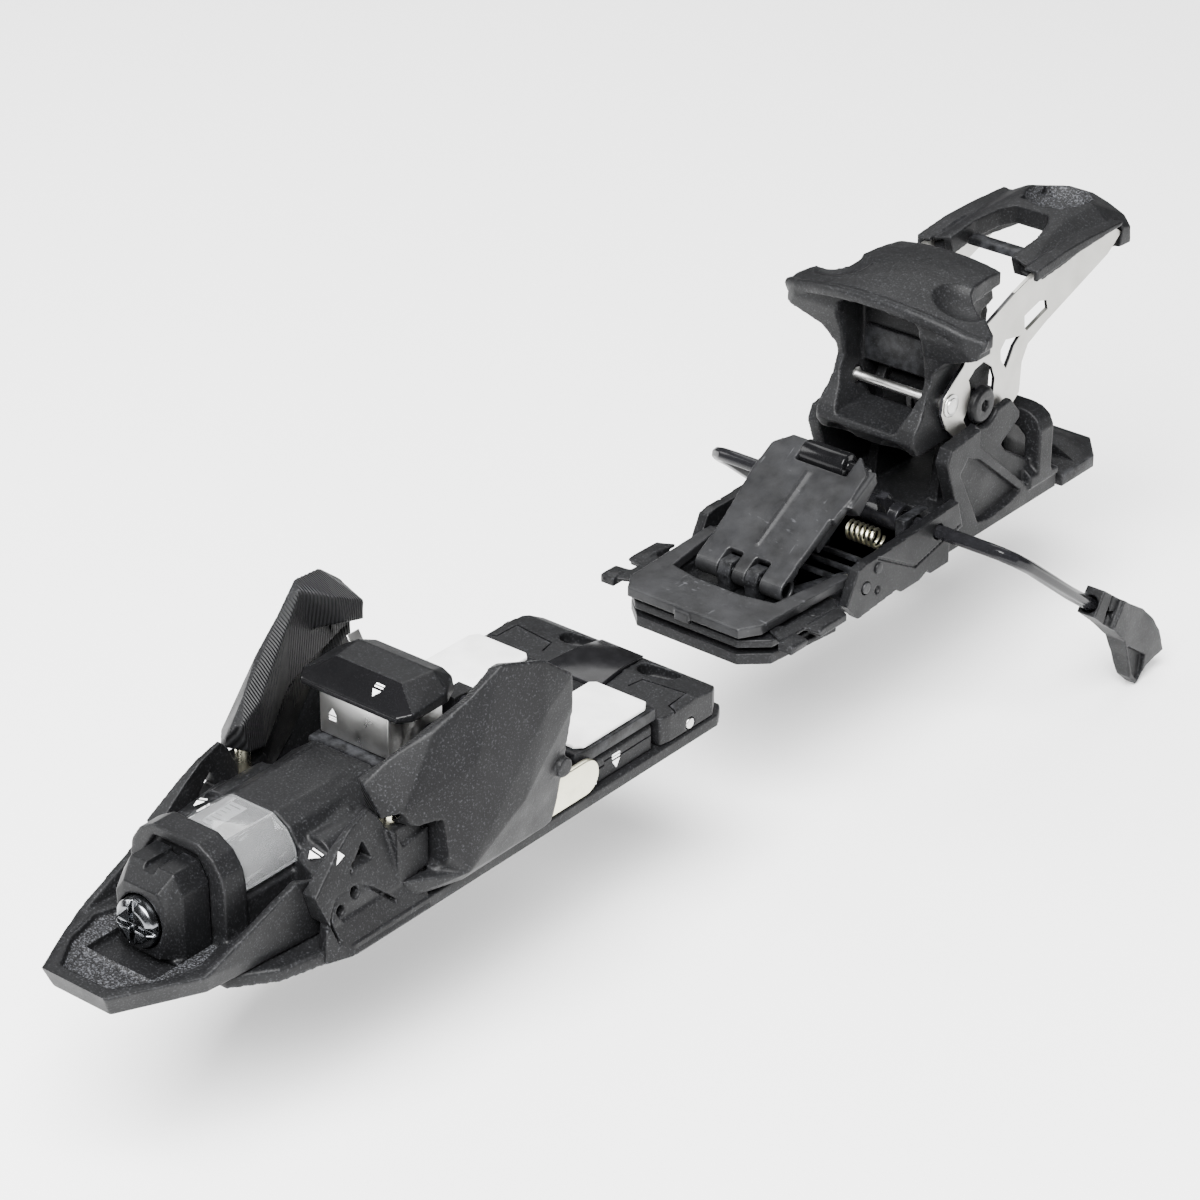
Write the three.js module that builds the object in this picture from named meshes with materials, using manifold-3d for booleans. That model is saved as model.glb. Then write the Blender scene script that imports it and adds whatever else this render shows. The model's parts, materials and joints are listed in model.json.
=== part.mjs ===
// Touring binding: separate toe piece and heel piece on one ski, millimetres.
// -Y is the ski's tip, +X its right edge, +Z up, and Z = 0 is the ski's top face.
import * as THREE from 'three';
import { ConvexGeometry } from 'three/addons/geometries/ConvexGeometry.js';
import { mergeVertices } from 'three/addons/utils/BufferGeometryUtils.js';
import Module from 'manifold-3d';

const wasm = await Module();
wasm.setup();

// Driving dimensions
const GAP = 0.3;
const BASE_TOP = 4.7;
const COVER_BOTTOM = BASE_TOP + GAP;
const SCREW_HEAD_RADIUS = 8.5;
const SCREW_AXIS_Z = 20.5;
const SPRING_CHAMBER_RADIUS = 11;
const WING_PIVOT = { x: 31, y: -91 };
const WING_PIN_RADIUS = 2.5;
const LEVER_PIVOT = { y: -57, z: 41 };
const TECH_PIVOT = { x: 26, z: 13 };
const TECH_ARM_Y = [-44, -38];
const PAD_PLATE_Z = [15.4, 19.9];
const PAD_PIN = { y: 46.9, z: 7.4 };
const MOUNT_SCREW = { x: 19, y: 57, radius: 2.9 };
const AXLE = { y: 236, z: 50, radius: 4 };
const RIVET = { y: 218.5, z: 55.5, radius: 3 };
const PEDAL_PIVOT = { y: 130, z: 15 };
const PEDAL_SLOPE = 30;
const WIRE_RADIUS = 2.75;
const ARM_PIVOT = { y: 198, z: 16.5 };
const FLAP_PIVOT = { y: 154, z: 11.8 };
const LENGTH_SCREW_Z = 19.6;
const SIDES = { right: 1, left: -1 };

// Materials
const finish = {
  nylon: [0x1b1c1e, 0.62, 0.0],
  satinNylon: [0x151618, 0.42, 0.0],
  glossNylon: [0x101113, 0.25, 0.0],
  padWhite: [0xe9e9e7, 0.45, 0.0],
  clear: [0xd8dcdc, 0.08, 0.0],
  darkChrome: [0x55585c, 0.2, 1.0],
  satinSteel: [0xc2c0ba, 0.32, 1.0],
  brightSteel: [0xcfd0cf, 0.16, 1.0],
  zinc: [0xb9b79a, 0.3, 1.0],
  blackSteel: [0x2a2b2e, 0.28, 0.8],
};

function material(name) {
  const [color, roughness, metalness] = finish[name];
  return new THREE.MeshStandardMaterial({ color, roughness, metalness });
}

// Solid helpers
function solid(geometry) {
  const bare = geometry.index ? geometry.toNonIndexed() : geometry.clone();
  bare.deleteAttribute('normal');
  bare.deleteAttribute('uv');
  const merged = mergeVertices(bare, 1e-4);
  const mesh = new wasm.Mesh({
    numProp: 3,
    vertProperties: new Float32Array(merged.attributes.position.array),
    triVerts: new Uint32Array(merged.index.array),
  });
  return new wasm.Manifold(mesh);
}

function joined(parts) {
  return parts.reduce((whole, piece) => whole.add(piece));
}

function cut(body, tools) {
  return tools.reduce((left, tool) => left.subtract(tool), body);
}

function outline(points) {
  const shape = new THREE.Shape();
  points.forEach(([u, v], i) => (i ? shape.lineTo(u, v) : shape.moveTo(u, v)));
  shape.closePath();
  return shape;
}

function extruded(points, depth) {
  const options = { depth, bevelEnabled: false, steps: 1 };
  return new THREE.ExtrudeGeometry(outline(points), options);
}

// Profile in (x, y), from z0 up to z1
function planSlab(points, z0, z1) {
  const geometry = extruded(points, z1 - z0);
  geometry.translate(0, 0, z0);
  return solid(geometry);
}

// Profile in (y, z), from x0 to x1
function sideSlab(points, x0, x1) {
  const low = Math.min(x0, x1);
  const geometry = extruded(points, Math.abs(x1 - x0));
  const turn = new THREE.Matrix4();
  turn.makeBasis(new THREE.Vector3(0, 1, 0), new THREE.Vector3(0, 0, 1), new THREE.Vector3(1, 0, 0));
  geometry.applyMatrix4(turn);
  geometry.translate(low, 0, 0);
  return solid(geometry);
}

// Profile in (x, z), from y0 to y1
function frontSlab(points, y0, y1) {
  const geometry = extruded(points, y1 - y0);
  geometry.rotateX(Math.PI / 2);
  geometry.translate(0, y1, 0);
  return solid(geometry);
}

function box(x0, x1, y0, y1, z0, z1) {
  const geometry = new THREE.BoxGeometry(Math.abs(x1 - x0), y1 - y0, z1 - z0);
  geometry.translate((x0 + x1) / 2, (y0 + y1) / 2, (z0 + z1) / 2);
  return solid(geometry);
}

function hull(points) {
  return solid(new ConvexGeometry(points.map((p) => new THREE.Vector3(...p))));
}

// The same points on both sides of the centre line
function bothSides(points) {
  return points.flatMap(([x, y, z]) => [[x, y, z], [-x, y, z]]);
}

function rod(axis, radius, from, to, segments = 20) {
  const start = new THREE.Vector3(...from);
  const geometry = new THREE.CylinderGeometry(radius, radius, to, segments);
  if (axis === 'x') geometry.rotateZ(-Math.PI / 2);
  if (axis === 'z') geometry.rotateX(Math.PI / 2);
  const half = { x: [to / 2, 0, 0], y: [0, to / 2, 0], z: [0, 0, to / 2] }[axis];
  geometry.translate(start.x + half[0], start.y + half[1], start.z + half[2]);
  return solid(geometry);
}

function turnedRing(axis, profile, centre, segments = 24) {
  const geometry = new THREE.LatheGeometry(profile.map(([r, h]) => new THREE.Vector2(r, h)), segments);
  if (axis === 'x') geometry.rotateZ(-Math.PI / 2);
  if (axis === 'z') geometry.rotateX(Math.PI / 2);
  geometry.translate(...centre);
  return solid(geometry);
}

function sweptRod(points, radius, sides = 10, steps = 40) {
  const section = new THREE.Shape();
  for (let i = 0; i < sides; i += 1) {
    const angle = (2 * Math.PI * i) / sides;
    const u = radius * Math.cos(angle);
    const v = radius * Math.sin(angle);
    if (i === 0) section.moveTo(u, v);
    else section.lineTo(u, v);
  }
  section.closePath();
  const path = new THREE.CatmullRomCurve3(points.map((p) => new THREE.Vector3(...p)), false, 'centripetal');
  return solid(new THREE.ExtrudeGeometry(section, { steps, extrudePath: path, bevelEnabled: false }));
}

class HelixCurve extends THREE.Curve {
  constructor(radius, start, length, turns, x, z) {
    super();
    Object.assign(this, { radius, start, length, turns, x, z });
  }

  getPoint(t) {
    const angle = 2 * Math.PI * this.turns * t;
    const x = this.x + this.radius * Math.cos(angle);
    const z = this.z + this.radius * Math.sin(angle);
    return new THREE.Vector3(x, this.start + this.length * t, z);
  }
}

function coilSpring(radius, wire, start, length, turns, x, z) {
  const section = new THREE.Shape();
  section.moveTo(wire, 0);
  for (let i = 1; i < 5; i += 1) {
    section.lineTo(wire * Math.cos((2 * Math.PI * i) / 5), wire * Math.sin((2 * Math.PI * i) / 5));
  }
  section.closePath();
  const path = new HelixCurve(radius, start, length, turns, x, z);
  const options = { steps: turns * 10, extrudePath: path, bevelEnabled: false };
  return solid(new THREE.ExtrudeGeometry(section, options));
}

function turnedAboutX(body, pivot, degrees) {
  const geometry = geometryOf(body);
  geometry.translate(0, -pivot.y, -pivot.z);
  geometry.rotateX((degrees * Math.PI) / 180);
  geometry.translate(0, pivot.y, pivot.z);
  return solid(geometry);
}

function geometryOf(body) {
  const mesh = body.getMesh();
  const geometry = new THREE.BufferGeometry();
  geometry.setAttribute('position', new THREE.BufferAttribute(new Float32Array(mesh.vertProperties), 3));
  geometry.setIndex(new THREE.BufferAttribute(new Uint32Array(mesh.triVerts), 1));
  return geometry;
}

const binding = new THREE.Group();
binding.name = 'touring_binding';

function place(group, name, body, look) {
  const flat = geometryOf(body).toNonIndexed();
  flat.computeVertexNormals();
  const mesh = new THREE.Mesh(mergeVertices(flat), material(look));
  mesh.name = name;
  group.add(mesh);
}

// ---------------------------------------------------------------- toe piece
const toe = new THREE.Group();

function mirroredOutline(half) {
  const left = half.map(([x, y]) => [-x, y]).reverse();
  return [...half, ...left];
}

function toeBasePlate() {
  const half = [[14, -158], [24, -157], [34, -143.5], [38, -128.5], [41.6, -119], [41.6, 62], [38, 67.5]];
  const plate = planSlab(mirroredOutline(half), 0, BASE_TOP);
  const holes = [1, -1].map((s) => {
    return rod('z', MOUNT_SCREW.radius, [s * MOUNT_SCREW.x, MOUNT_SCREW.y, -1], BASE_TOP + 2);
  });
  const frontHole = rod('z', MOUNT_SCREW.radius, [0, -150, -1], BASE_TOP + 2);
  return cut(plate, [...holes, frontHole]);
}

function noseWedge() {
  return hull(bothSides([
    [13.6, -197.4, 13.2], [12.2, -194, COVER_BOTTOM], [19.5, -184, 12.8], [18.4, -182, COVER_BOTTOM],
    [28, -169, 12.4], [26, -167, COVER_BOTTOM], [28, -140, 12.4], [25.5, -140, COVER_BOTTOM],
  ]));
}

function noseRim(s) {
  return hull([
    [s * 28, -169, 12.4], [s * 25.6, -169, 12.4], [s * 26, -167, COVER_BOTTOM],
    [s * 24, -166, COVER_BOTTOM],
    [s * 28.8, -140, 20], [s * 26.4, -140, 20], [s * 30.2, -131, 27.5], [s * 27.4, -131, 27.5],
    [s * 30.2, -122, 25], [s * 25, -122, 22], [s * 30.2, -122, COVER_BOTTOM], [s * 24, -122, COVER_BOTTOM],
  ]);
}

function archProfile(halfWidth, knee, top) {
  return mirroredOutline([
    [halfWidth, COVER_BOTTOM], [halfWidth, knee], [halfWidth * 0.95, knee + (top - knee) * 0.35],
    [halfWidth * 0.78, knee + (top - knee) * 0.72], [halfWidth * 0.46, top],
  ]);
}

function shoulder(s) {
  const slope = hull([
    [s * 12, -117.9, COVER_BOTTOM], [s * 30.2, -123, COVER_BOTTOM], [s * 30.2, -102, COVER_BOTTOM],
    [s * 12, -102, COVER_BOTTOM], [s * 12, -117.9, 29], [s * 30.2, -123, 25], [s * 30.2, -102, 27.5],
    [s * 12, -102, 34],
  ]);
  return slope.subtract(box(-19, 19, -125, -118, 24.7, 50));
}

function toeHousing() {
  const arch = frontSlab(archProfile(20, 30, 43.5), -152, -142.4);
  const seat = frontSlab(archProfile(15.2, 25, 35), -143, -117.5);
  const flank = frontSlab(mirroredOutline([[18.6, COVER_BOTTOM], [18.6, 22], [14, 24.5]]), -143, -117.5);
  const body = frontSlab(archProfile(19, 26, 38.5), -118, -80);
  const hips = hull(bothSides([
    [21.6, -103, COVER_BOTTOM], [21.6, -77.6, COVER_BOTTOM], [21.6, -103, 28], [21.6, -77.6, 31],
    [12, -103, 36], [12, -77.6, 38],
  ]));
  const shell = joined([noseWedge(), noseRim(1), noseRim(-1), arch, seat, flank, body, hips,
    shoulder(1), shoulder(-1)]);
  const chamber = rod('y', SPRING_CHAMBER_RADIUS, [0, -160, SCREW_AXIS_Z], 78, 24);
  const mouth = frontSlab(mirroredOutline([[13.4, 7.5], [13.4, 33], [9, 39.6]]), -160, -150.4);
  const pocketFloor = 10.4;
  const pocket = hull(bothSides([
    [10, -192, pocketFloor], [18, -180, pocketFloor], [22, -166, pocketFloor], [18, -152.5, pocketFloor],
    [10.6, -192.6, 16], [18.8, -180, 16], [22.8, -166, 16], [18, -152.5, 16],
  ]));
  const kickSeat = hull(bothSides([
    [14.4, -178, 7], [14.4, -151, 7], [14.4, -178, 16], [14.4, -151, 16],
  ]));
  const windowSlot = box(-6.5, 6.5, -140, -121, 28, 40);
  const leverSweep = rod('x', 21, [-26, LEVER_PIVOT.y, LEVER_PIVOT.z], 52, 40);
  return cut(shell, [chamber, mouth, pocket, kickSeat, windowSlot, leverSweep]);
}

function valueWindow() {
  const outer = frontSlab(archProfile(18.6, 25, 38.6), -142.1, -118.3);
  const hollow = frontSlab(archProfile(15.6, 24.8, 35.4), -145, -115);
  const below = box(-30, 30, -150, -110, 0, 25);
  return cut(outer, [hollow, below]);
}

function adjusterBlock() {
  const back = [[12.6, 8], [12.6, 31], [9, 37.4], [2.4, 37.4], [2.4, 35.6]];
  const rear = frontSlab(mirroredOutline(back), -162, -150.8);
  const nose = hull(bothSides([
    [12.6, -162, 8], [12.6, -162, 31], [9, -162, 37.4], [8.4, -169.4, 10.5], [10.6, -167.6, 27],
    [7, -167.6, 32],
  ]));
  const floorPlate = box(-12.6, 12.6, -166, -150.8, 7.6, 9);
  const block = joined([rear, nose, floorPlate]);
  const bore = rod('y', SCREW_HEAD_RADIUS + 0.5, [0, -172, SCREW_AXIS_Z], 11, 28);
  const shaftBore = rod('y', 4.4, [0, -172, SCREW_AXIS_Z], 30, 20);
  const groove = box(-2.4, 2.4, -170, -150, 35.6, 40);
  return cut(block, [bore, shaftBore, groove]);
}

function adjusterScrew() {
  const head = turnedRing('y', [
    [0, -4.2], [6.2, -4.2], [8.2, -2.6], [SCREW_HEAD_RADIUS, 0], [SCREW_HEAD_RADIUS, 3.6], [0, 3.6],
  ], [0, -168, SCREW_AXIS_Z], 28);
  const shaft = rod('y', 4, [0, -165, SCREW_AXIS_Z], 42, 16);
  const slotA = box(-9, 9, -174, -170, SCREW_AXIS_Z - 1.1, SCREW_AXIS_Z + 1.1);
  const slotB = box(-1.1, 1.1, -174, -170, SCREW_AXIS_Z - 9, SCREW_AXIS_Z + 9);
  return cut(head.add(shaft), [slotA, slotB]);
}

function valueIndicator() {
  const ring = turnedRing('y', [[4.4, -1.5], [10.4, -1.5], [10.4, 1.5], [4.4, 1.5], [4.4, -1.5]],
    [0, -131, SCREW_AXIS_Z], 24);
  const pointer = box(-5.6, 5.6, -132.5, -129.5, 30, 33.4);
  return ring.add(pointer);
}

function sideFrame(s) {
  const profile = [
    [-117, COVER_BOTTOM], [-126, 13], [-129.6, 23.6], [-117.4, 33], [-110, 37.6], [-101, 40.6], [-97.6, 37],
    [-92.6, 25.4], [-81, 27.2], [-80.8, 13.4], [-92.6, 12.4], [-93.6, COVER_BOTTOM],
  ];
  const plate = sideSlab(profile, s * 30.6, s * 38.6);
  const shave = frontSlab([[s * 31.8, 42], [s * 38.8, 12], [s * 50, 12], [s * 50, 60], [s * 31.8, 60]],
    -140, -95);
  const window = sideSlab([[-112, 26], [-106, 32.4], [-103.5, 25.4]], s * 28, s * 42);
  const panel = sideSlab([[-118, 7], [-123, 16], [-117, 19], [-110, 19], [-97, 7.4]], s * 37.7, s * 42);
  const holes = [[-120.5, 15.5], [-113.5, 18.6]].map(
    ([y, z]) => rod('x', 1.9, [s > 0 ? 28 : -42, y, z], 14, 12),
  );
  const pinHole = rod('z', WING_PIN_RADIUS + GAP, [s * WING_PIVOT.x, WING_PIVOT.y, 3], 30, 16);
  return cut(plate, [shave, window, panel, ...holes, pinHole]);
}

function wingPin(s) {
  return rod('z', WING_PIN_RADIUS, [s * WING_PIVOT.x, WING_PIVOT.y, COVER_BOTTOM], 42, 16);
}

function toeWing(s) {
  const profile = [
    [-99, 45.5], [-97.4, 38.6], [-91.6, 26.6], [-77.8, 28.8], [-77.4, 13], [-91.4, 11.6], [-91, 5.6],
    [-28, 5.6], [-24.6, 8], [-24, 14], [-26.6, 20], [-25, 30], [-21, 45], [-22.5, 57], [-30, 64],
    [-38, 70.5], [-45, 73.5], [-52, 74], [-61, 70], [-66, 63], [-77, 58.6], [-90, 53.6], [-97, 49.4],
  ];
  const band = [
    [30.2, -101], [33.6, -90], [41.4, -70], [46.6, -52], [50, -38], [50.4, -18],
    [43.6, -18], [43.4, -44], [39.6, -56], [35, -70], [26.6, -90], [24, -101],
  ].map(([x, y]) => [s * x, y]);
  const wall = sideSlab(profile, s * 20, s * 56).intersect(planSlab(band, 0, 90));
  const hook = hull([
    [s * 46, -54, 73.2], [s * 49, -38, 70], [s * 50, -26, 60], [s * 44, -26, 48], [s * 44, -50, 52],
    [s * 34, -42, 68], [s * 33, -30, 62], [s * 31.6, -31, 55], [s * 32.6, -40, 57], [s * 40, -54, 72],
  ]);
  const neck = hull([
    [s * 24.4, -97, 48], [s * 24.4, -86, 50], [s * 24.4, -86, 30], [s * 24.4, -95, 38],
    [s * 32, -97, 48], [s * 36, -86, 50], [s * 36, -86, 30], [s * 32, -95, 38],
  ]);
  const chamfer = hull([
    [s * 62, -80, 68], [s * 52.4, -66, 62], [s * 52.6, -36, 53.4], [s * 52.6, -16, 46],
    [s * 44.5, -66, 78], [s * 46.5, -34, 76], [s * 48, -16, 72], [s * 62, -16, 80],
  ]);
  const pinBore = rod('z', WING_PIN_RADIUS + GAP, [s * WING_PIVOT.x, WING_PIVOT.y, 3], 45, 16);
  return cut(joined([wall, hook, neck]), [chamfer, pinBore]);
}

function leverPost() {
  const pedestal = box(-20, 20, -62.5, -14, COVER_BOTTOM, 18);
  const post = sideSlab([[-62.5, 16], [-61, 36], [-62, 45], [-52, 47], [-49.4, 36], [-49, 16]],
    -13.6, 13.6);
  const lugs = [1, -1].flatMap((s) => [[-49, -44.6], [-37.4, -33]].map(([a, b]) => {
    return box(s * 18, s * 31, a, b, COVER_BOTTOM, 18);
  }));
  const uprights = [1, -1].map((s) => sideSlab([[-40, 16], [-39, 45], [-30, 45], [-27, 16]],
    s * 7, s * 13));
  const axleBore = rod('x', 3.3, [-15, LEVER_PIVOT.y, LEVER_PIVOT.z], 30, 16);
  const barBore = rod('x', 3.7, [-15, -34.5, 40.5], 30, 16);
  const pinBores = [1, -1].map((s) => rod('y', 2.8, [s * TECH_PIVOT.x, -50, TECH_PIVOT.z], 18, 14));
  return cut(joined([pedestal, post, ...lugs, ...uprights]), [axleBore, barBore, ...pinBores]);
}

function crossBar() {
  return rod('x', 3.4, [-22, -34.5, 40.5], 44, 16);
}

function leverBracket() {
  const wrap = planSlab([
    [17.4, -49.5], [17.4, -69], [14.6, -72], [-14.6, -72], [-17.4, -69], [-17.4, -49.5],
    [-15.4, -49.5], [-15.4, -68.4], [-13.8, -70.2], [13.8, -70.2], [15.4, -68.4], [15.4, -49.5],
  ], 38.4, 53.6);
  const axleBore = rod('x', 3.3, [-20, LEVER_PIVOT.y, LEVER_PIVOT.z + 0.2], 40, 16);
  const rearShave = sideSlab([[-56, 36], [-48, 46], [-48, 36]], -20, 20);
  return cut(wrap, [axleBore, rearShave]);
}

function leverCap() {
  const cap = hull(bothSides([
    [20, -74.5, 54], [23.6, -70, 54], [23.6, -54, 54], [20, -46.5, 54],
    [20.4, -74.5, 56], [23.6, -70, 56.6], [23.6, -54, 57.4], [17.6, -45, 57.6],
    [14, -64.5, 62], [16, -52, 62], [14, -45.4, 59.6],
  ]));
  const underside = box(-15, 15, -69.8, -46, 50, 54.4);
  return cut(cap, [underside]);
}

function leverAxle() {
  const shaft = rod('x', 2.9, [-19, LEVER_PIVOT.y, LEVER_PIVOT.z], 38, 16);
  const heads = [1, -1].map((s) => rod('x', 4.6, [s > 0 ? 17.7 : -20.2, LEVER_PIVOT.y, LEVER_PIVOT.z],
    2.5, 20));
  const sockets = [1, -1].map((s) => rod('x', 2.4, [s > 0 ? 18.6 : -21.6, LEVER_PIVOT.y, LEVER_PIVOT.z],
    3, 6));
  return cut(joined([shaft, ...heads]), sockets);
}

function techArm(s) {
  const [y0, y1] = TECH_ARM_Y;
  const plate = frontSlab([
    [s * 22.6, 8], [s * 29.6, 8], [s * 30.6, 16], [s * 29, 30], [s * 31, 44], [s * 31, 52],
    [s * 28.6, 55.5],
    [s * 26.6, 52], [s * 26.6, 42], [s * 24.6, 30], [s * 22.2, 16],
  ], y0, y1);
  const bore = rod('y', 2.8, [s * TECH_PIVOT.x, y0 - 2, TECH_PIVOT.z], 12, 14);
  return plate.subtract(bore).add(techPin(s));
}

function techPin(s) {
  const y = (TECH_ARM_Y[0] + TECH_ARM_Y[1]) / 2;
  const turned = turnedRing('x', [[0, 0], [2.6, 0], [2.6, 2], [1.1, 3.8], [0, 3.8]], [0, 0, 0], 16);
  const geometry = geometryOf(turned);
  if (s > 0) geometry.rotateZ(Math.PI);
  geometry.translate(s * 27, y, 48);
  return solid(geometry);
}

function techPivotPin(s) {
  return rod('y', 2.5, [s * TECH_PIVOT.x, -48.6, TECH_PIVOT.z], 15.2, 14);
}

function steelTongue(s) {
  const disc = rod('x', 6.4, [s > 0 ? 40 : -42, -8, 11.8], 2, 24);
  const blade = box(s * 40, s * 42, -34, -8, 5.4, 18.2);
  return disc.add(blade);
}

function padTower() {
  const tower = frontSlab(mirroredOutline([
    [39.4, COVER_BOTTOM], [39.4, 13.4], [38, 15.1],
  ]), -12, 28.6);
  const screwBore = rod('z', 4.3, [0, 4, 2], 20, 20);
  return tower.subtract(screwBore);
}

function padHeightScrew() {
  const screw = rod('z', 4, [0, 4, COVER_BOTTOM + 0.2], 9.6, 20);
  const socket = rod('z', 1.8, [0, 4, 11], 6, 6);
  return screw.subtract(socket);
}

function padPlate() {
  const [z0, z1] = PAD_PLATE_Z;
  const deck = planSlab(mirroredOutline([
    [38.4, -9.6], [39.6, -4], [39.6, 30.6],
  ]), z0, z1);
  const inner = box(-12.4, 12.4, -14, 40, 18, 24);
  const toolHole = rod('z', 2.6, [0, 4, 10], 14, 16);
  const frontNotch = planSlab([[-13, -12], [13, -12], [13, -4], [-13, -4]], 10, 24);
  const ears = [1, -1].map((s) => sideSlab([
    [29.2, 17], [29.2, 5.8], [51, 5.8], [51, 11], [34, 11.4], [31, 14.6], [30.6, 17],
  ], s * 30, s * 35.5));
  const bore = rod('x', 2.3, [-42, PAD_PIN.y, PAD_PIN.z], 84, 16);
  return cut(joined([deck, ...ears]), [inner, toolHole, frontNotch, bore]);
}

function whitePad(s) {
  const corner = [
    [s * 13.4, 27.6], [s * 13.4, 2], [s * 20, -7.6], [s * 36, -7.6], [s * 38.4, -4.8], [s * 38.4, 26.4],
    [s * 36.4, 29.4], [s * 15.4, 29.4],
  ];
  return planSlab(corner, PAD_PLATE_Z[1] + GAP, PAD_PLATE_Z[1] + 1.9);
}

function crossPlate() {
  const profile = [
    [31.4, COVER_BOTTOM], [31.4, 15.6], [50, 16], [60, 14.6], [64.5, 12.6], [67.4, COVER_BOTTOM],
  ];
  const plan = mirroredOutline([[40.6, 31], [41.4, 36], [41.4, 59], [37.4, 65], [30, 68.5]]);
  const block = sideSlab(profile, -42, 42).intersect(planSlab(plan, 0, 30));
  const slots = [1, -1].flatMap((s) => [
    box(s * 29.4, s * 36.1, 28, PAD_PIN.y + 5.6, 3, 13.2),
    box(s * 29.4, s * 36.1, 28, 34.6, 3, 20),
  ]);
  const pinBore = rod('x', 2.3, [-44, PAD_PIN.y, PAD_PIN.z], 88, 16);
  const screwWells = [1, -1].flatMap((s) => [
    rod('z', MOUNT_SCREW.radius, [s * MOUNT_SCREW.x, MOUNT_SCREW.y, 2], 20, 16),
    hull([[0, 0], [5, 1.5]].flatMap(
      ([dx, dy]) => ringPoints(s * (MOUNT_SCREW.x - 2) + dx, MOUNT_SCREW.y + dy, 5.4, [9, 20]),
    )),
  ]);
  const panelSeat = planSlab([[-12.6, 33.6], [12.6, 33.6], [9.4, 62.4], [-9.4, 62.4]], 14, 24);
  return cut(block, [...slots, pinBore, ...screwWells, panelSeat]);
}

function ringPoints(x, y, radius, heights) {
  const points = [];
  for (let i = 0; i < 12; i += 1) {
    const angle = (Math.PI * i) / 6;
    heights.forEach((z) => points.push([x + radius * Math.cos(angle), y + radius * Math.sin(angle), z]));
  }
  return points;
}

function centrePanel() {
  const slab = sideSlab([[33.9, 14.3], [33.9, 16.6], [50, 17], [62.1, 15.2], [62.1, 14.3]], -13, 13);
  return slab.intersect(planSlab([[-12.3, 33], [12.3, 33], [9.1, 63], [-9.1, 63]], 0, 30));
}

function padPin() {
  return rod('x', 2, [-41.6, PAD_PIN.y, PAD_PIN.z], 83.2, 16);
}

place(toe, 'toe_base_plate', toeBasePlate(), 'nylon');
place(toe, 'toe_housing', toeHousing(), 'nylon');
place(toe, 'value_window', valueWindow(), 'clear');
place(toe, 'adjuster_block', adjusterBlock(), 'satinNylon');
place(toe, 'adjuster_screw', adjusterScrew(), 'darkChrome');
place(toe, 'value_indicator', valueIndicator(), 'nylon');
place(toe, 'release_spring', coilSpring(8.4, 1.3, -126, 40, 7, 0, SCREW_AXIS_Z), 'darkChrome');
place(toe, 'lever_post', leverPost(), 'nylon');
place(toe, 'cross_bar', crossBar(), 'blackSteel');
place(toe, 'lever_bracket', leverBracket(), 'brightSteel');
place(toe, 'lever_cap', leverCap(), 'satinNylon');
place(toe, 'lever_axle', leverAxle(), 'blackSteel');
place(toe, 'pad_tower', padTower(), 'nylon');
place(toe, 'pad_height_screw', padHeightScrew(), 'darkChrome');
place(toe, 'pad_plate', padPlate(), 'satinNylon');
place(toe, 'cross_plate', crossPlate(), 'nylon');
place(toe, 'centre_panel', centrePanel(), 'glossNylon');
place(toe, 'pad_pin', padPin(), 'brightSteel');
for (const [side, s] of Object.entries(SIDES)) {
  place(toe, `side_frame_${side}`, sideFrame(s), 'nylon');
  place(toe, `wing_pin_${side}`, wingPin(s), 'brightSteel');
  place(toe, `toe_wing_${side}`, toeWing(s), 'nylon');
  place(toe, `tech_arm_${side}`, techArm(s), 'brightSteel');
  place(toe, `tech_pivot_${side}`, techPivotPin(s), 'darkChrome');
  place(toe, `steel_tongue_${side}`, steelTongue(s), 'zinc');
  place(toe, `white_pad_${side}`, whitePad(s), 'padWhite');
}
binding.add(toe);
// --------------------------------------------------------------- heel piece
const heel = new THREE.Group();

function heelTrack() {
  const rail = planSlab(mirroredOutline([[20, 120], [24, 126], [24, 283.4], [32.6, 283.4], [32.6, 305],
    [23, 317]]), 0, 5);
  const ramp = hull(bothSides([[31, 296, 4.5], [31, 303, 4.5], [22.4, 315.6, 4.5], [20, 296, 9],
    [20, 312, 6.4]]));
  const holes = [[0, 300], [0, 134]].map(([x, y]) => rod('z', 2.9, [x, y, -1], 14, 16));
  const rack = box(-7, 7, 176, 275, 3.2, 6);
  return cut(rail.add(ramp), [...holes, rack]);
}

function trackRack() {
  const bar = box(-6.6, 6.6, 176.4, 274.6, 3.5, 4.6);
  const teeth = [];
  for (let y = 240; y < 272; y += 3) teeth.push(box(-5, 5, y, y + 1.5, 4.4, 5.4));
  return joined([bar, ...teeth]);
}

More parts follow.
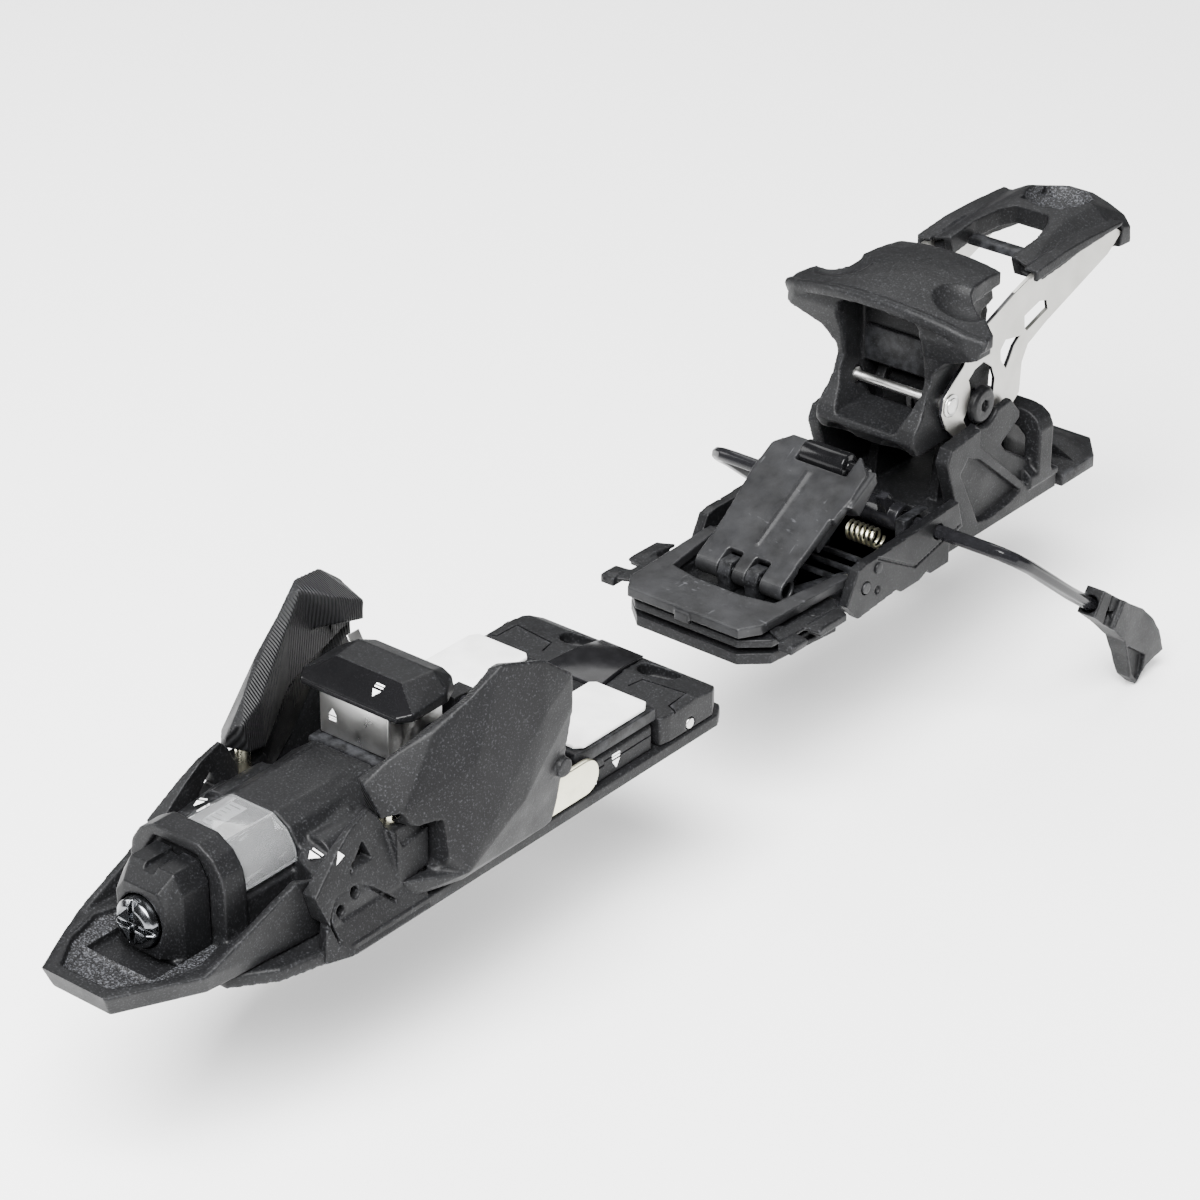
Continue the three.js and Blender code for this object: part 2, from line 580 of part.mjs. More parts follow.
function carriage() {
  const wall = [
    [206, 1], [206, 10], [217, 12], [208, 37], [210.6, 42.6], [252, 47], [258, 40], [266, 40.5], [272, 36],
    [277.5, 26.6], [281, 12], [281, 1],
  ];
  const sideWalls = [1, -1].map((s) => sideSlab(wall, s * 25.8, s * 31.4));
  const recess = [1, -1].map((s) => sideSlab([[217.6, 13.4], [212.6, 27], [226.4, 31.6], [259, 8.4],
    [222, 8.4]], s * 28, s * 36));
  const crease = [1, -1].map((s) => sideSlab([[232, 36.4], [233.6, 39], [262, 19], [260.4, 16.6]],
    s * 29.6, s * 36));
  const deck = box(-31.4, 31.4, 216, 281, 7, 11.6);
  const rearHood = hull(bothSides([
    [20, 262, 8], [20, 262, 26], [14, 266, 39], [20, 281, 8], [20, 281, 13], [14, 274, 33],
  ]));
  const mouth = rod('y', 8.2, [0, 255, LENGTH_SCREW_Z], 40, 24);
  const uprights = [1, -1].map((s) => sideSlab([
    [224, 9], [229, 40], [228, 52], [232, 58.6], [240, 58.6], [244, 52], [243, 40], [250, 9],
  ], s * 12, s * 16));
  const bore = rod('x', AXLE.radius + GAP, [-34, AXLE.y, AXLE.z], 68, 20);
  const boltSeat = [1, -1].map((s) => rod('x', 8.2, [s > 0 ? 24 : -36, AXLE.y, AXLE.z], 12, 24));
  const solids = [...sideWalls, deck, rearHood, ...uprights];
  return cut(joined(solids), [...recess, ...crease, mouth, bore, ...boltSeat]);
}

function lengthScrew() {
  const shaft = rod('y', 5.4, [0, 262, LENGTH_SCREW_Z], 16, 20);
  const head = rod('y', 7.6, [0, 277.8, LENGTH_SCREW_Z], 5, 24);
  const slot = box(-1.2, 1.2, 281, 284, 6, 30);
  const cross = box(-9, 9, 281, 284, LENGTH_SCREW_Z - 1.2, LENGTH_SCREW_Z + 1.2);
  return cut(head.add(shaft), [slot, cross]);
}

function mainAxle() {
  const shaft = rod('x', AXLE.radius, [-24.6, AXLE.y, AXLE.z], 49.2, 20);
  const heads = [1, -1].map((s) => turnedRing('x', s > 0
    ? [[0, 0], [7, 0], [7, 2.4], [5.8, 3.4], [0, 3.4]]
    : [[0, -3.4], [5.8, -3.4], [7, -2.4], [7, 0], [0, 0]], [s * 24.4, AXLE.y, AXLE.z], 28));
  const sockets = [1, -1].map((s) => rod('x', 2.3, [s > 0 ? 26 : -29, AXLE.y, AXLE.z], 3, 6));
  return cut(joined([shaft, ...heads]), sockets);
}

function jawShell() {
  const side = [
    [199, 45], [203, 39.6], [214, 36.6], [243, 36.6], [248, 46], [250, 66], [251, 80], [248, 90],
    [239, 97.6], [228, 100.4], [214, 98], [206, 93], [205.4, 86], [209, 76], [211, 66], [206, 56],
      [201, 50],
  ];
  const front = mirroredOutline([
    [17, 36], [21.8, 40], [21.8, 52], [20.6, 60], [21.4, 70], [27, 76], [42, 82], [41.6, 86], [34, 93.4],
    [18, 95], [11, 98], [6, 100.4],
  ]);
  const plan = mirroredOutline([
    [20.4, 252], [21.8, 236], [23, 224], [43, 216], [44, 209], [36, 205], [26, 203], [20, 199], [10, 197.5],
  ]);
  const block = sideSlab(side, -46, 46).intersect(frontSlab(front, 190, 256)).intersect(planSlab(plan,
    30, 110));
  const mouth = hull(bothSides([
    [17.4, 190, 88], [17.4, 190, 60], [13, 190, 47], [17.4, 222, 84], [17.4, 222, 60], [13.4, 222, 48],
  ]));
  const axleRoom = box(-17, 17, 222, 262, 20, 60.5);
  const rearWell = box(-11, 11, 226, 262, 50, 74);
  const underside = hull(bothSides([[17, 208, 30], [17, 262, 30], [17, 214, 43.4], [17, 262, 43.4]]));
  const axleBore = rod('x', AXLE.radius + GAP, [-30, AXLE.y, AXLE.z], 60, 20);
  const rivetBore = rod('x', RIVET.radius + GAP, [-30, RIVET.y, RIVET.z], 60, 20);
  const wristShave = [1, -1].map((s) => hull([
    [s * 50, 219, 58], [s * 22.3, 219, 58], [s * 22.3, 256, 58], [s * 50, 256, 58], [s * 50, 219, 80],
    [s * 22.3, 219, 80], [s * 50, 226, 110], [s * 22.3, 256, 80], [s * 24, 256, 110], [s * 26, 228, 110],
  ]));
  return cut(block, [mouth, axleRoom, rearWell, underside, axleBore, rivetBore, ...wristShave]);
}

function jawBackPlate() {
  return hull(bothSides([
    [15.6, 220.4, 62], [15.6, 221.6, 62], [15.6, 220.4, 74], [14.6, 220.4, 76], [15.6, 221.6, 74],
      [14.6, 221.6, 76],
  ]));
}

function leverPlate(s) {
  const profile = [
    [211.6, 49], [213, 54], [224, 74], [229, 77.4], [241, 81], [257, 86.4], [268, 89.8], [290, 91.8],
      [322, 90.8],
    [327.6, 87], [296, 78.6], [268, 68], [262.6, 64], [260, 59], [258.4, 44], [254, 42.6], [225, 38],
      [214, 45],
  ];
  const plate = sideSlab(profile, s * 22.8, s * 24.4);
  const slotPoints = [];
  for (let i = 0; i <= 8; i += 1) {
    const angle = ((-46 + i * 9.5) * Math.PI) / 180;
    slotPoints.push([RIVET.y + 12.6 * Math.cos(angle), RIVET.z + 12.6 * Math.sin(angle)]);
  }
  for (let i = 8; i >= 0; i -= 1) {
    const angle = ((-46 + i * 9.5) * Math.PI) / 180;
    slotPoints.push([RIVET.y + 24.4 * Math.cos(angle), RIVET.z + 24.4 * Math.sin(angle)]);
  }
  const slot = sideSlab(slotPoints, s * 20, s * 27);
  const upperCut = sideSlab([[262, 76], [273, 84], [276, 82], [270, 74.6], [266, 73]], s * 20, s * 27);
  const lowerCut = sideSlab([[249, 60.4], [252, 69], [259, 75], [262, 72], [258, 66]], s * 20, s * 27);
  const rivetBore = rod('x', RIVET.radius + GAP, [s > 0 ? 20 : -27, RIVET.y, RIVET.z], 7, 18);
  return cut(plate, [slot, upperCut, lowerCut, rivetBore]);
}

function leverRivet() {
  const shaft = rod('x', RIVET.radius, [-24.8, RIVET.y, RIVET.z], 49.6, 18);
  const caps = [1, -1].map((s) => turnedRing('x', s > 0
    ? [[0, 0], [4.4, 0], [3.8, 0.7], [0, 0.9]]
    : [[0, -0.9], [3.8, -0.7], [4.4, 0], [0, 0]], [s * 24.6, RIVET.y, RIVET.z], 20));
  return joined([shaft, ...caps]);
}

function heelLeverCap() {
  const wings = hull(bothSides([
    [15.4, 270, 93.4], [20.6, 270, 91.6], [24.9, 272, 88.6], [24.9, 274, 85.4], [20, 273, 83.8],
      [13.6, 273, 86],
    [21.4, 300, 93.2], [15, 300, 96.6], [25.4, 318, 92], [15, 322, 97.2], [7, 322, 99.6], [25.4, 332, 88],
    [24.6, 334, 80.6], [18, 337, 79.6], [20, 336, 90], [12, 337, 92.6], [5, 337, 94.6], [25, 300, 85.6],
  ]));
  const window = planSlab(mirroredOutline([[13.4, 262], [13.4, 286], [10.6, 298], [7, 303]]), 60, 120);
  const underside = hull(bothSides([
    [21.4, 262, 60], [21.4, 262, 84.4], [19, 300, 89.6], [17, 326, 84], [17, 326, 60], [13, 320, 92],
  ]));
  const plateSlots = [1, -1].map((s) => sideSlab([
    [255, 86], [266.5, 90.4], [290, 92.4], [323, 91.4], [328.4, 87], [296, 74], [268, 66],
  ], s * 22.3, s * 24.7));
  const thumbPocket = hull(bothSides([
    [9, 309, 96.4], [10, 328, 92.6], [11, 307, 112], [13, 332, 112],
  ]));
  return cut(wings, [window, underside, ...plateSlots, thumbPocket]);
}

function leverCrossBar() {
  return hull([
    [-13, 280.4, 87.4], [13, 280.4, 87.4], [-13, 286.6, 87.4], [13, 286.6, 87.4],
    [-13, 281, 90.2], [13, 281, 90.2], [-13, 286.2, 90.2], [13, 286.2, 90.2],
  ]);
}

function heelReleaseScrew() {
  const head = rod('y', 6.6, [0, 251.6, 66], 5, 24);
  const shaft = rod('y', 3.4, [0, 236, 66], 16.5, 16);
  const slot = box(-7.6, 7.6, 254.8, 258, 65, 67);
  return head.add(shaft).subtract(slot);
}

function heelReleaseSpring() {
  return coilSpring(5.6, 1.1, 228.4, 19, 5, 0, 66);
}

function chassisWall(s) {
  const profile = [
    [150, 1], [143, 8.6], [149.4, 20.4], [154, 21.4], [165, 21.4], [210, 23.6], [213.4, 12.4],
      [205.4, 11], [205.4, 1],
    [194, 1], [192, 3], [187, 1], [176, 1], [173, 3],
  ];
  const wall = sideSlab(profile, s * 31.6, s * 35.6);
  const wireBore = rod('x', WIRE_RADIUS + GAP, [s > 0 ? 28 : -38, ARM_PIVOT.y, ARM_PIVOT.z], 10, 18);
  const flapBore = rod('x', 2.2 + GAP, [s > 0 ? 28 : -38, FLAP_PIVOT.y, FLAP_PIVOT.z], 10, 14);
  const seam = sideSlab([[160.4, 20.6], [184, 7.4], [212, 13.6], [212, 14.4], [184.4, 8.4],
    [160.4, 21.8]], s * 34.9, s * 38);
  const pinHole = rod('x', 1.6, [s > 0 ? 34.4 : -37.4, 161, 8.2], 3, 12);
  return cut(wall, [wireBore, flapBore, seam, pinHole]);
}

function chassisFloor() {
  const floor = box(-31.3, 31.3, 143, 205.6, 5.4, 7.4);
  const skirts = [1, -1].map((s) => box(s * 24.8, s * 31.3, 151, 205.4, 1, 6));
  const pedalLugs = [1, -1].map((s) => sideSlab([
    [126.6, 7.7], [124.8, 15], [127, 19.6], [133, 19.6], [136, 14], [150, 7], [150, 5.6], [143.2, 5.6],
      [143.2, 7.7],
  ], s * 3.4, s * 8.6));
  const armBlocks = [1, -1].map((s) => sideSlab([[190, 6], [190, 20.4], [205, 20.4], [205, 6]],
    s * 22, s * 26));
  const pedalBore = rod('x', 2.6 + GAP, [-22, PEDAL_PIVOT.y, PEDAL_PIVOT.z], 44, 16);
  const armBore = rod('x', WIRE_RADIUS + GAP, [-34, ARM_PIVOT.y, ARM_PIVOT.z], 68, 18);
  return cut(joined([floor, ...skirts, ...pedalLugs, ...armBlocks]), [pedalBore, armBore]);
}

function frontSkid() {
  const lower = planSlab(mirroredOutline([[22, 97], [31, 105], [34.6, 138], [31, 142.6], [24.8, 142.6],
    [24.8, 117]]), 0.6, 5);
  const spacer = planSlab(mirroredOutline([[20, 101], [28, 107.4], [31, 141.6], [24.8, 141.6],
    [24.8, 117]]), 4.6, 8);
  const upper = planSlab(mirroredOutline([[22.6, 96.6], [31.6, 104.6], [35.2, 138], [31, 142.6],
    [24.8, 142.6], [24.8, 117]]), 7.6, 10.8);
  const bridge = box(-24.9, 24.9, 112, 142.6, 5.3, 7.2);
  const slots = [1, -1].map((s) => box(s * 31.4, s * 40, 119, 128, 3, 12));
  return cut(joined([lower, spacer, upper, bridge]), slots);
}

function brakePedal() {
  const plate = planSlab(mirroredOutline([
    [18.6, 136], [19.4, 150], [21.6, 170], [21, 182], [15, 187.6], [8, 187.6],
  ]), PEDAL_PIVOT.z + 1, PEDAL_PIVOT.z + 4.2);
  const rearNotch = box(-6, 12, 179.4, 190, PEDAL_PIVOT.z - 4, PEDAL_PIVOT.z + 8);
  const knuckles = [[-19, -9.4], [-2.8, 2.8], [9.4, 19]].map(([a, b]) => {
    const barrel = rod('x', 4.2, [a, PEDAL_PIVOT.y, PEDAL_PIVOT.z], b - a, 18);
    const web = box(a, b, PEDAL_PIVOT.y, 138, PEDAL_PIVOT.z + 0.6, PEDAL_PIVOT.z + 4.2);
    return barrel.add(web);
  });
  const ribs = [1, -1].map((s) => box(s * 15, s * 18.4, 150, 181, PEDAL_PIVOT.z - 4, PEDAL_PIVOT.z + 1.4));
  const bore = rod('x', 2.9, [-24, PEDAL_PIVOT.y, PEDAL_PIVOT.z], 48, 16);
  const rearBore = rod('x', 2.4, [-24, 184, PEDAL_PIVOT.z + 1.2], 48, 14);
  const flat = cut(joined([plate, ...knuckles, ...ribs]), [rearNotch, bore, rearBore]);
  return turnedAboutX(flat, PEDAL_PIVOT, PEDAL_SLOPE);
}

function pedalHingePin() {
  return rod('x', 2.6, [-18.6, PEDAL_PIVOT.y, PEDAL_PIVOT.z], 37.2, 16);
}

function pedalRoller() {
  const pin = rod('x', 2.1, [-19.6, 184, PEDAL_PIVOT.z + 1.2], 39.2, 14);
  const roller = rod('x', 4.1, [-5.4, 184, PEDAL_PIVOT.z + 1.2], 16.8, 20);
  return turnedAboutX(pin.add(roller), PEDAL_PIVOT, PEDAL_SLOPE);
}

function brakeArm(s) {
  const { y, z } = ARM_PIVOT;
  return sweptRod([
    [s * 20.6, y, z], [s * 40, y, z], [s * 60, y, z], [s * 65, y + 1, z - 0.8],
      [s * 67.4, y + 4.6, z - 3.6],
    [s * 68, y + 12, z - 9], [s * 69.4, 232, -10.4], [s * 71, 254, -27],
  ], WIRE_RADIUS, 8, 22);
}

function brakeCrank() {
  const hub = rod('x', 5.4, [-20, ARM_PIVOT.y, ARM_PIVOT.z], 40, 20);
  const toes = [1, -1].map((s) => hull([
    [s * 12, 194, 16], [s * 12, 201, 18], [s * 12, 191, 26], [s * 12, 194.6, 27],
    [s * 16, 194, 16], [s * 16, 201, 18], [s * 16, 191, 26], [s * 16, 194.6, 27],
  ]));
  const sockets = [1, -1].map((s) => rod('x', WIRE_RADIUS + GAP, [s > 0 ? 19 : -22, ARM_PIVOT.y,
    ARM_PIVOT.z], 3, 16));
  return cut(joined([hub, ...toes]), sockets);
}

function brakeFoot(s) {
  const profile = [
    [244.4, -25], [250.6, -16.4], [266, -27.6], [276, -34], [285, -42], [292, -51], [296.4, -61],
      [290, -61.6],
    [284, -63], [279, -68.6], [273, -63], [269, -52], [265, -43.4], [256, -34.6],
  ];
  const taper = hull([
    [s * 65, 238, -4], [s * 76, 238, -4], [s * 66, 264, -10], [s * 77.6, 264, -10], [s * 66, 238, -42],
    [s * 76.4, 238, -42], [s * 68.6, 298, -70], [s * 73.4, 298, -70], [s * 68.4, 298, -30],
      [s * 76, 298, -30],
    [s * 69.6, 270, -72], [s * 73, 270, -72],
  ]);
  const wireBore = sweptRod([[s * 67.4, 214.3, 2.9], [s * 71.4, 257.4, -29.5]], WIRE_RADIUS + 0.7, 12, 1);
  return sideSlab(profile, s * 62, s * 80).intersect(taper).subtract(wireBore);
}

function climbFlap() {
  const frame = planSlab(mirroredOutline([
    [24.4, 94.6], [29, 102], [29.8, 120], [31, 150], [26.8, 150], [22.4, 118], [10, 115.4],
  ]), 12.8, 16.6);
  const frontRib = box(-3, 3, 94, 101, 11.4, 15);
  const hinges = [1, -1].flatMap((s) => [
    sideSlab([[146, 12.8], [146, 16.6], [153, 15.2], [157, 12.8], [156.4, 9.4], [153, 8.6]],
      s * 26.8, s * 31),
    rod('x', 2.2, [s > 0 ? 30 : -36.2, FLAP_PIVOT.y, FLAP_PIVOT.z], 6.2, 14),
  ]);
  return joined([frame, frontRib, ...hinges]);
}

function lockSlider() {
  const plate = planSlab(mirroredOutline([
    [28, 107.6], [41, 101], [42.6, 104], [42.6, 110.6], [36.6, 111.6], [36.6, 116.6], [42.6, 117.6],
      [41.6, 134],
    [36.4, 137], [36.4, 126], [30.6, 124], [30.6, 113], [28, 112],
  ]), 11.1, 12.5);
  return plate;
}

place(heel, 'heel_track', heelTrack(), 'nylon');
place(heel, 'track_rack', trackRack(), 'brightSteel');
place(heel, 'carriage', carriage(), 'nylon');
place(heel, 'length_screw', lengthScrew(), 'darkChrome');
place(heel, 'main_axle', mainAxle(), 'darkChrome');
place(heel, 'jaw_shell', jawShell(), 'nylon');
place(heel, 'jaw_back_plate', jawBackPlate(), 'satinNylon');
place(heel, 'lever_rivet', leverRivet(), 'brightSteel');
place(heel, 'heel_lever_cap', heelLeverCap(), 'nylon');
place(heel, 'lever_cross_bar', leverCrossBar(), 'satinNylon');
place(heel, 'heel_release_screw', heelReleaseScrew(), 'darkChrome');
place(heel, 'heel_release_spring', heelReleaseSpring(), 'darkChrome');
place(heel, 'chassis_floor', chassisFloor(), 'satinNylon');
place(heel, 'front_skid', frontSkid(), 'nylon');
place(heel, 'brake_pedal', brakePedal(), 'satinNylon');
place(heel, 'pedal_hinge_pin', pedalHingePin(), 'darkChrome');
place(heel, 'pedal_roller', pedalRoller(), 'darkChrome');
place(heel, 'brake_crank', brakeCrank(), 'blackSteel');
place(heel, 'climb_flap', climbFlap(), 'satinNylon');
place(heel, 'lock_slider', lockSlider(), 'nylon');
for (const [side, s] of Object.entries(SIDES)) {
  place(heel, `lever_plate_${side}`, leverPlate(s), 'satinSteel');
  place(heel, `chassis_wall_${side}`, chassisWall(s), 'satinNylon');
  place(heel, `brake_arm_${side}`, brakeArm(s), 'blackSteel');
  place(heel, `brake_foot_${side}`, brakeFoot(s), 'nylon');
}
binding.add(heel);

export default binding;
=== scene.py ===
import json
import math

import bmesh
import bpy
from mathutils import Matrix, Vector

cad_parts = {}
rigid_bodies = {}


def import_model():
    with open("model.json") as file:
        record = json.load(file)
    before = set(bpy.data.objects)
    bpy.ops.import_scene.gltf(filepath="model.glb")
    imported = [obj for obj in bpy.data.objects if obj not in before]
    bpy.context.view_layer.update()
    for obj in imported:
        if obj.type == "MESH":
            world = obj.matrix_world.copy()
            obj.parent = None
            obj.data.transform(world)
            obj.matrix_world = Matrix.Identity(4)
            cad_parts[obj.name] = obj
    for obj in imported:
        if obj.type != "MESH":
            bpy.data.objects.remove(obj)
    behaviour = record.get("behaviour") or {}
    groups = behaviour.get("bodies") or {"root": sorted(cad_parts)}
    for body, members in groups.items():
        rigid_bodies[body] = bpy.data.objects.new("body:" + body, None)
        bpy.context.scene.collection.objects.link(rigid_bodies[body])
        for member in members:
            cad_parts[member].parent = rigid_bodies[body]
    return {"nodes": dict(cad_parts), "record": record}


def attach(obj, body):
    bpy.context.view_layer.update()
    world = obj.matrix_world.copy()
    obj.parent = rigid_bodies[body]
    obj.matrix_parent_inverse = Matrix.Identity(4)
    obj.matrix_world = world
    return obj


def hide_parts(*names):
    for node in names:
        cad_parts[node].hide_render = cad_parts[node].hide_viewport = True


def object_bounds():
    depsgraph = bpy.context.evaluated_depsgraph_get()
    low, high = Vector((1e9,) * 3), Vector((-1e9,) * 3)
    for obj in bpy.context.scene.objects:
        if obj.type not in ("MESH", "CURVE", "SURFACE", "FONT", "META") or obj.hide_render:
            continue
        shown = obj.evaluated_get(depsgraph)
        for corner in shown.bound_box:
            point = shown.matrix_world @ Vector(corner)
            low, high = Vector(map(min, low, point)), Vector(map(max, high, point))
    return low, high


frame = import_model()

CAD_BOX = [list(corner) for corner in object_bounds()]
MM = 0.001
TAU = 2 * math.pi
WELD = 0.02 * MM
SIDES = ((1, "right"), (-1, "left"))
NODES = frame["nodes"]
BODY_OF = {n: b for b, ns in frame["record"]["behaviour"]["bodies"].items() for n in ns}
SLOT_OF = {p["node"]: p["material_slot"] for p in frame["record"]["subparts"]}

# Places on the object, in millimetres unless they carry MM.
RIVET = (218.5, 55.5)
SLOT_RADIUS = 12.6
PLATE_INNER, PLATE_OUTER = 22.8, 24.4
PEDAL_HINGE = (0, 130 * MM, 15 * MM)
PEDAL_SLOPE = math.radians(30)
PEDAL_ROLLER = (184, 16.2)
WING_PIN_X, WING_PIN_Y = 31, -91
THUMB_POCKET_Y = 321
CARD_TOP_Z = 35.24

# ------------------------------------------------------------------ camera
CAMERA_PLACE = (0.749, -0.862, 0.682)
AZIMUTH = math.radians(39.4)
ELEVATION = math.radians(28.6)


def add_camera():
    data = bpy.data.cameras.new("camera")
    data.lens = 120
    data.sensor_width = 36
    data.clip_end = 20
    camera = bpy.data.objects.new("camera", data)
    camera.location = CAMERA_PLACE
    camera.rotation_euler = (math.pi / 2 - ELEVATION, 0, AZIMUTH)
    bpy.context.scene.collection.objects.link(camera)
    bpy.context.scene.camera = camera


add_camera()


# --------------------------------------------------------------- materials
class Shader:
    """A small builder for node materials. Lengths are in metres."""

    def __init__(self, name, color, roughness, metallic=0.0):
        self.material = bpy.data.materials.new(name)
        self.material.use_nodes = True
        self.tree = self.material.node_tree
        self.bsdf = self.tree.nodes["Principled BSDF"]
        self.set("Base Color", (*color, 1))
        self.set("Roughness", roughness)
        self.set("Metallic", metallic)
        self.coords = self.tree.nodes.new("ShaderNodeTexCoord").outputs["Object"]

    def set(self, socket, value):
        self.bsdf.inputs[socket].default_value = value

    def link(self, a, b):
        self.tree.links.new(a, b)

    def noise(self, size, detail=3.0, rough=0.55, stretch=None):
        source = self.coords
        if stretch:
            mapping = self.tree.nodes.new("ShaderNodeMapping")
            mapping.inputs["Scale"].default_value = stretch
            self.link(source, mapping.inputs["Vector"])
            source = mapping.outputs["Vector"]
        node = self.tree.nodes.new("ShaderNodeTexNoise")
        node.inputs["Scale"].default_value = 1 / size
        node.inputs["Detail"].default_value = detail
        node.inputs["Roughness"].default_value = rough
        self.link(source, node.inputs["Vector"])
        return node.outputs["Fac"]

    def remap(self, value, low, high, to_low, to_high):
        node = self.tree.nodes.new("ShaderNodeMapRange")
        self.link(value, node.inputs["Value"])
        names = ("From Min", "From Max", "To Min", "To Max")
        for name, number in zip(names, (low, high, to_low, to_high)):
            node.inputs[name].default_value = number
        return node.outputs["Result"]

    def math(self, operation, a, b):
        node = self.tree.nodes.new("ShaderNodeMath")
        node.operation = operation
        for socket, value in zip(node.inputs, (a, b)):
            if isinstance(value, (int, float)):
                socket.default_value = value
            else:
                self.link(value, socket)
        return node.outputs[0]

    def edges(self, low=0.53, high=0.6):
        geometry = self.tree.nodes.new("ShaderNodeNewGeometry")
        return self.remap(geometry.outputs["Pointiness"], low, high, 0, 1)

    def mix(self, factor, a, b):
        node = self.tree.nodes.new("ShaderNodeMix")
        node.data_type = "RGBA"
        self.link(factor, node.inputs["Factor"])
        for socket, value in ((node.inputs["A"], a), (node.inputs["B"], b)):
            if isinstance(value, tuple):
                socket.default_value = (*value, 1)
            else:
                self.link(value, socket)
        return node.outputs["Result"]

    def bump(self, height, strength, distance):
        node = self.tree.nodes.new("ShaderNodeBump")
        node.inputs["Strength"].default_value = strength
        node.inputs["Distance"].default_value = distance
        self.link(height, node.inputs["Height"])
        self.link(node.outputs["Normal"], self.bsdf.inputs["Normal"])


def tinted(color, gain):
    return tuple(min(1, c * gain) for c in color)


def moulded(name, color, roughness, grain=0.5, wear=0.5, grain_size=0.0007, specks=0.5):
    """Moulded plastic: clouded colour, fine grain, pale specks, rubbed edges."""
    s = Shader(name, color, roughness)
    s.set("IOR", 1.25)
    cloud = s.remap(s.noise(0.03, 4), 0.3, 0.7, 0, 1)
    base = s.mix(cloud, tinted(color, 0.78), tinted(color, 1.3))
    fine = s.noise(grain_size, 2, 0.7)
    speck = s.remap(fine, 0.56, 0.72, 0, specks)
    base = s.mix(speck, base, tinted(color, 12))
    rub = s.math("MULTIPLY", s.edges(), s.remap(s.noise(0.004, 4), 0.42, 0.62, 0, wear))
    base = s.mix(rub, base, tinted(color, 9))
    s.link(base, s.bsdf.inputs["Base Color"])
    rough = s.remap(s.noise(0.012, 5), 0.3, 0.7, roughness - 0.07, roughness + 0.08)
    s.link(rough, s.bsdf.inputs["Roughness"])
    s.bump(fine, grain, 0.00012)
    return s.material


def metal(name, color, roughness, brush=None, blotch=0.08, dirt=0.0):
    """Bare or plated metal with faint brushing and smudges."""
    s = Shader(name, color, roughness, 1.0)
    cloud = s.remap(s.noise(0.02, 5), 0.3, 0.7, 0, 1)
    base = s.mix(cloud, tinted(color, 0.9), tinted(color, 1.05))
    if dirt:
        base = s.mix(s.remap(s.noise(0.006, 6), 0.5, 0.72, 0, dirt), base, tinted(color, 0.25))
    s.link(base, s.bsdf.inputs["Base Color"])
    grain = s.noise(0.0006, 3, 0.6, stretch=brush)
    rough = s.remap(s.noise(0.009, 5), 0.3, 0.7, max(0.05, roughness - blotch), roughness + blotch)
    s.link(rough, s.bsdf.inputs["Roughness"])
    s.bump(grain, 0.12, 0.00005)
    return s.material


def clear_plastic(name):
    s = Shader(name, (0.62, 0.63, 0.64), 0.04)
    s.set("Transmission Weight", 0.86)
    s.set("IOR", 1.49)
    s.link(s.remap(s.noise(0.01, 4), 0.3, 0.7, 0.02, 0.09), s.bsdf.inputs["Roughness"])
    s.bump(s.noise(0.002, 3), 0.05, 0.00005)
    return s.material


def grainy(name, color):
    """Coarse spark-eroded texture: dark pits between pale grains."""
    s = Shader(name, color, 0.55)
    s.set("IOR", 1.35)
    grain = s.noise(0.0007, 2, 0.6)
    pale = s.remap(grain, 0.5, 0.66, 0, 1)
    s.link(s.mix(pale, tinted(color, 0.5), tinted(color, 9)), s.bsdf.inputs["Base Color"])
    s.bump(grain, 1.0, 0.0006)
    return s.material


def ribbed(name, color):
    """Moulded plastic with fine upright ribs."""
    s = Shader(name, color, 0.5)
    s.set("IOR", 1.3)
    wave = s.tree.nodes.new("ShaderNodeTexWave")
    wave.bands_direction = "Y"
    wave.inputs["Scale"].default_value = 300
    wave.inputs["Distortion"].default_value = 0.4
    s.link(s.coords, wave.inputs["Vector"])
    band = wave.outputs["Fac"]
    s.link(s.mix(band, tinted(color, 0.6), tinted(color, 2.2)), s.bsdf.inputs["Base Color"])
    s.bump(band, 0.7, 0.0004)
    return s.material


def scuffed(name, color, roughness):
    """Worn plastic: clouded, with long thin pale scratches in two directions."""
    s = Shader(name, color, roughness)
    s.set("IOR", 1.35)
    cloud = s.remap(s.noise(0.012, 6, 0.65), 0.35, 0.7, 0, 1)
    base = s.mix(cloud, tinted(color, 0.8), tinted(color, 2.6))
    for stretch in ((1.0, 0.07, 0.07), (0.35, 1.2, 1.2)):
        line = s.noise(0.0016, 2, 0.5, stretch=stretch)
        gate = s.remap(s.noise(0.01, 3), 0.52, 0.6, 0, 1)
        mark = s.math("MULTIPLY", s.remap(line, 0.66, 0.7, 0, 0.5), gate)
        base = s.mix(mark, base, tinted(color, 12))
    rub = s.math("MULTIPLY", s.edges(), s.remap(s.noise(0.004, 4), 0.4, 0.6, 0, 0.8))
    base = s.mix(rub, base, tinted(color, 8))
    s.link(base, s.bsdf.inputs["Base Color"])
    rough = s.remap(s.noise(0.008, 5), 0.3, 0.7, roughness - 0.1, roughness + 0.1)
    s.link(rough, s.bsdf.inputs["Roughness"])
    s.bump(s.noise(0.0012, 4, 0.7), 0.3, 0.00012)
    return s.material


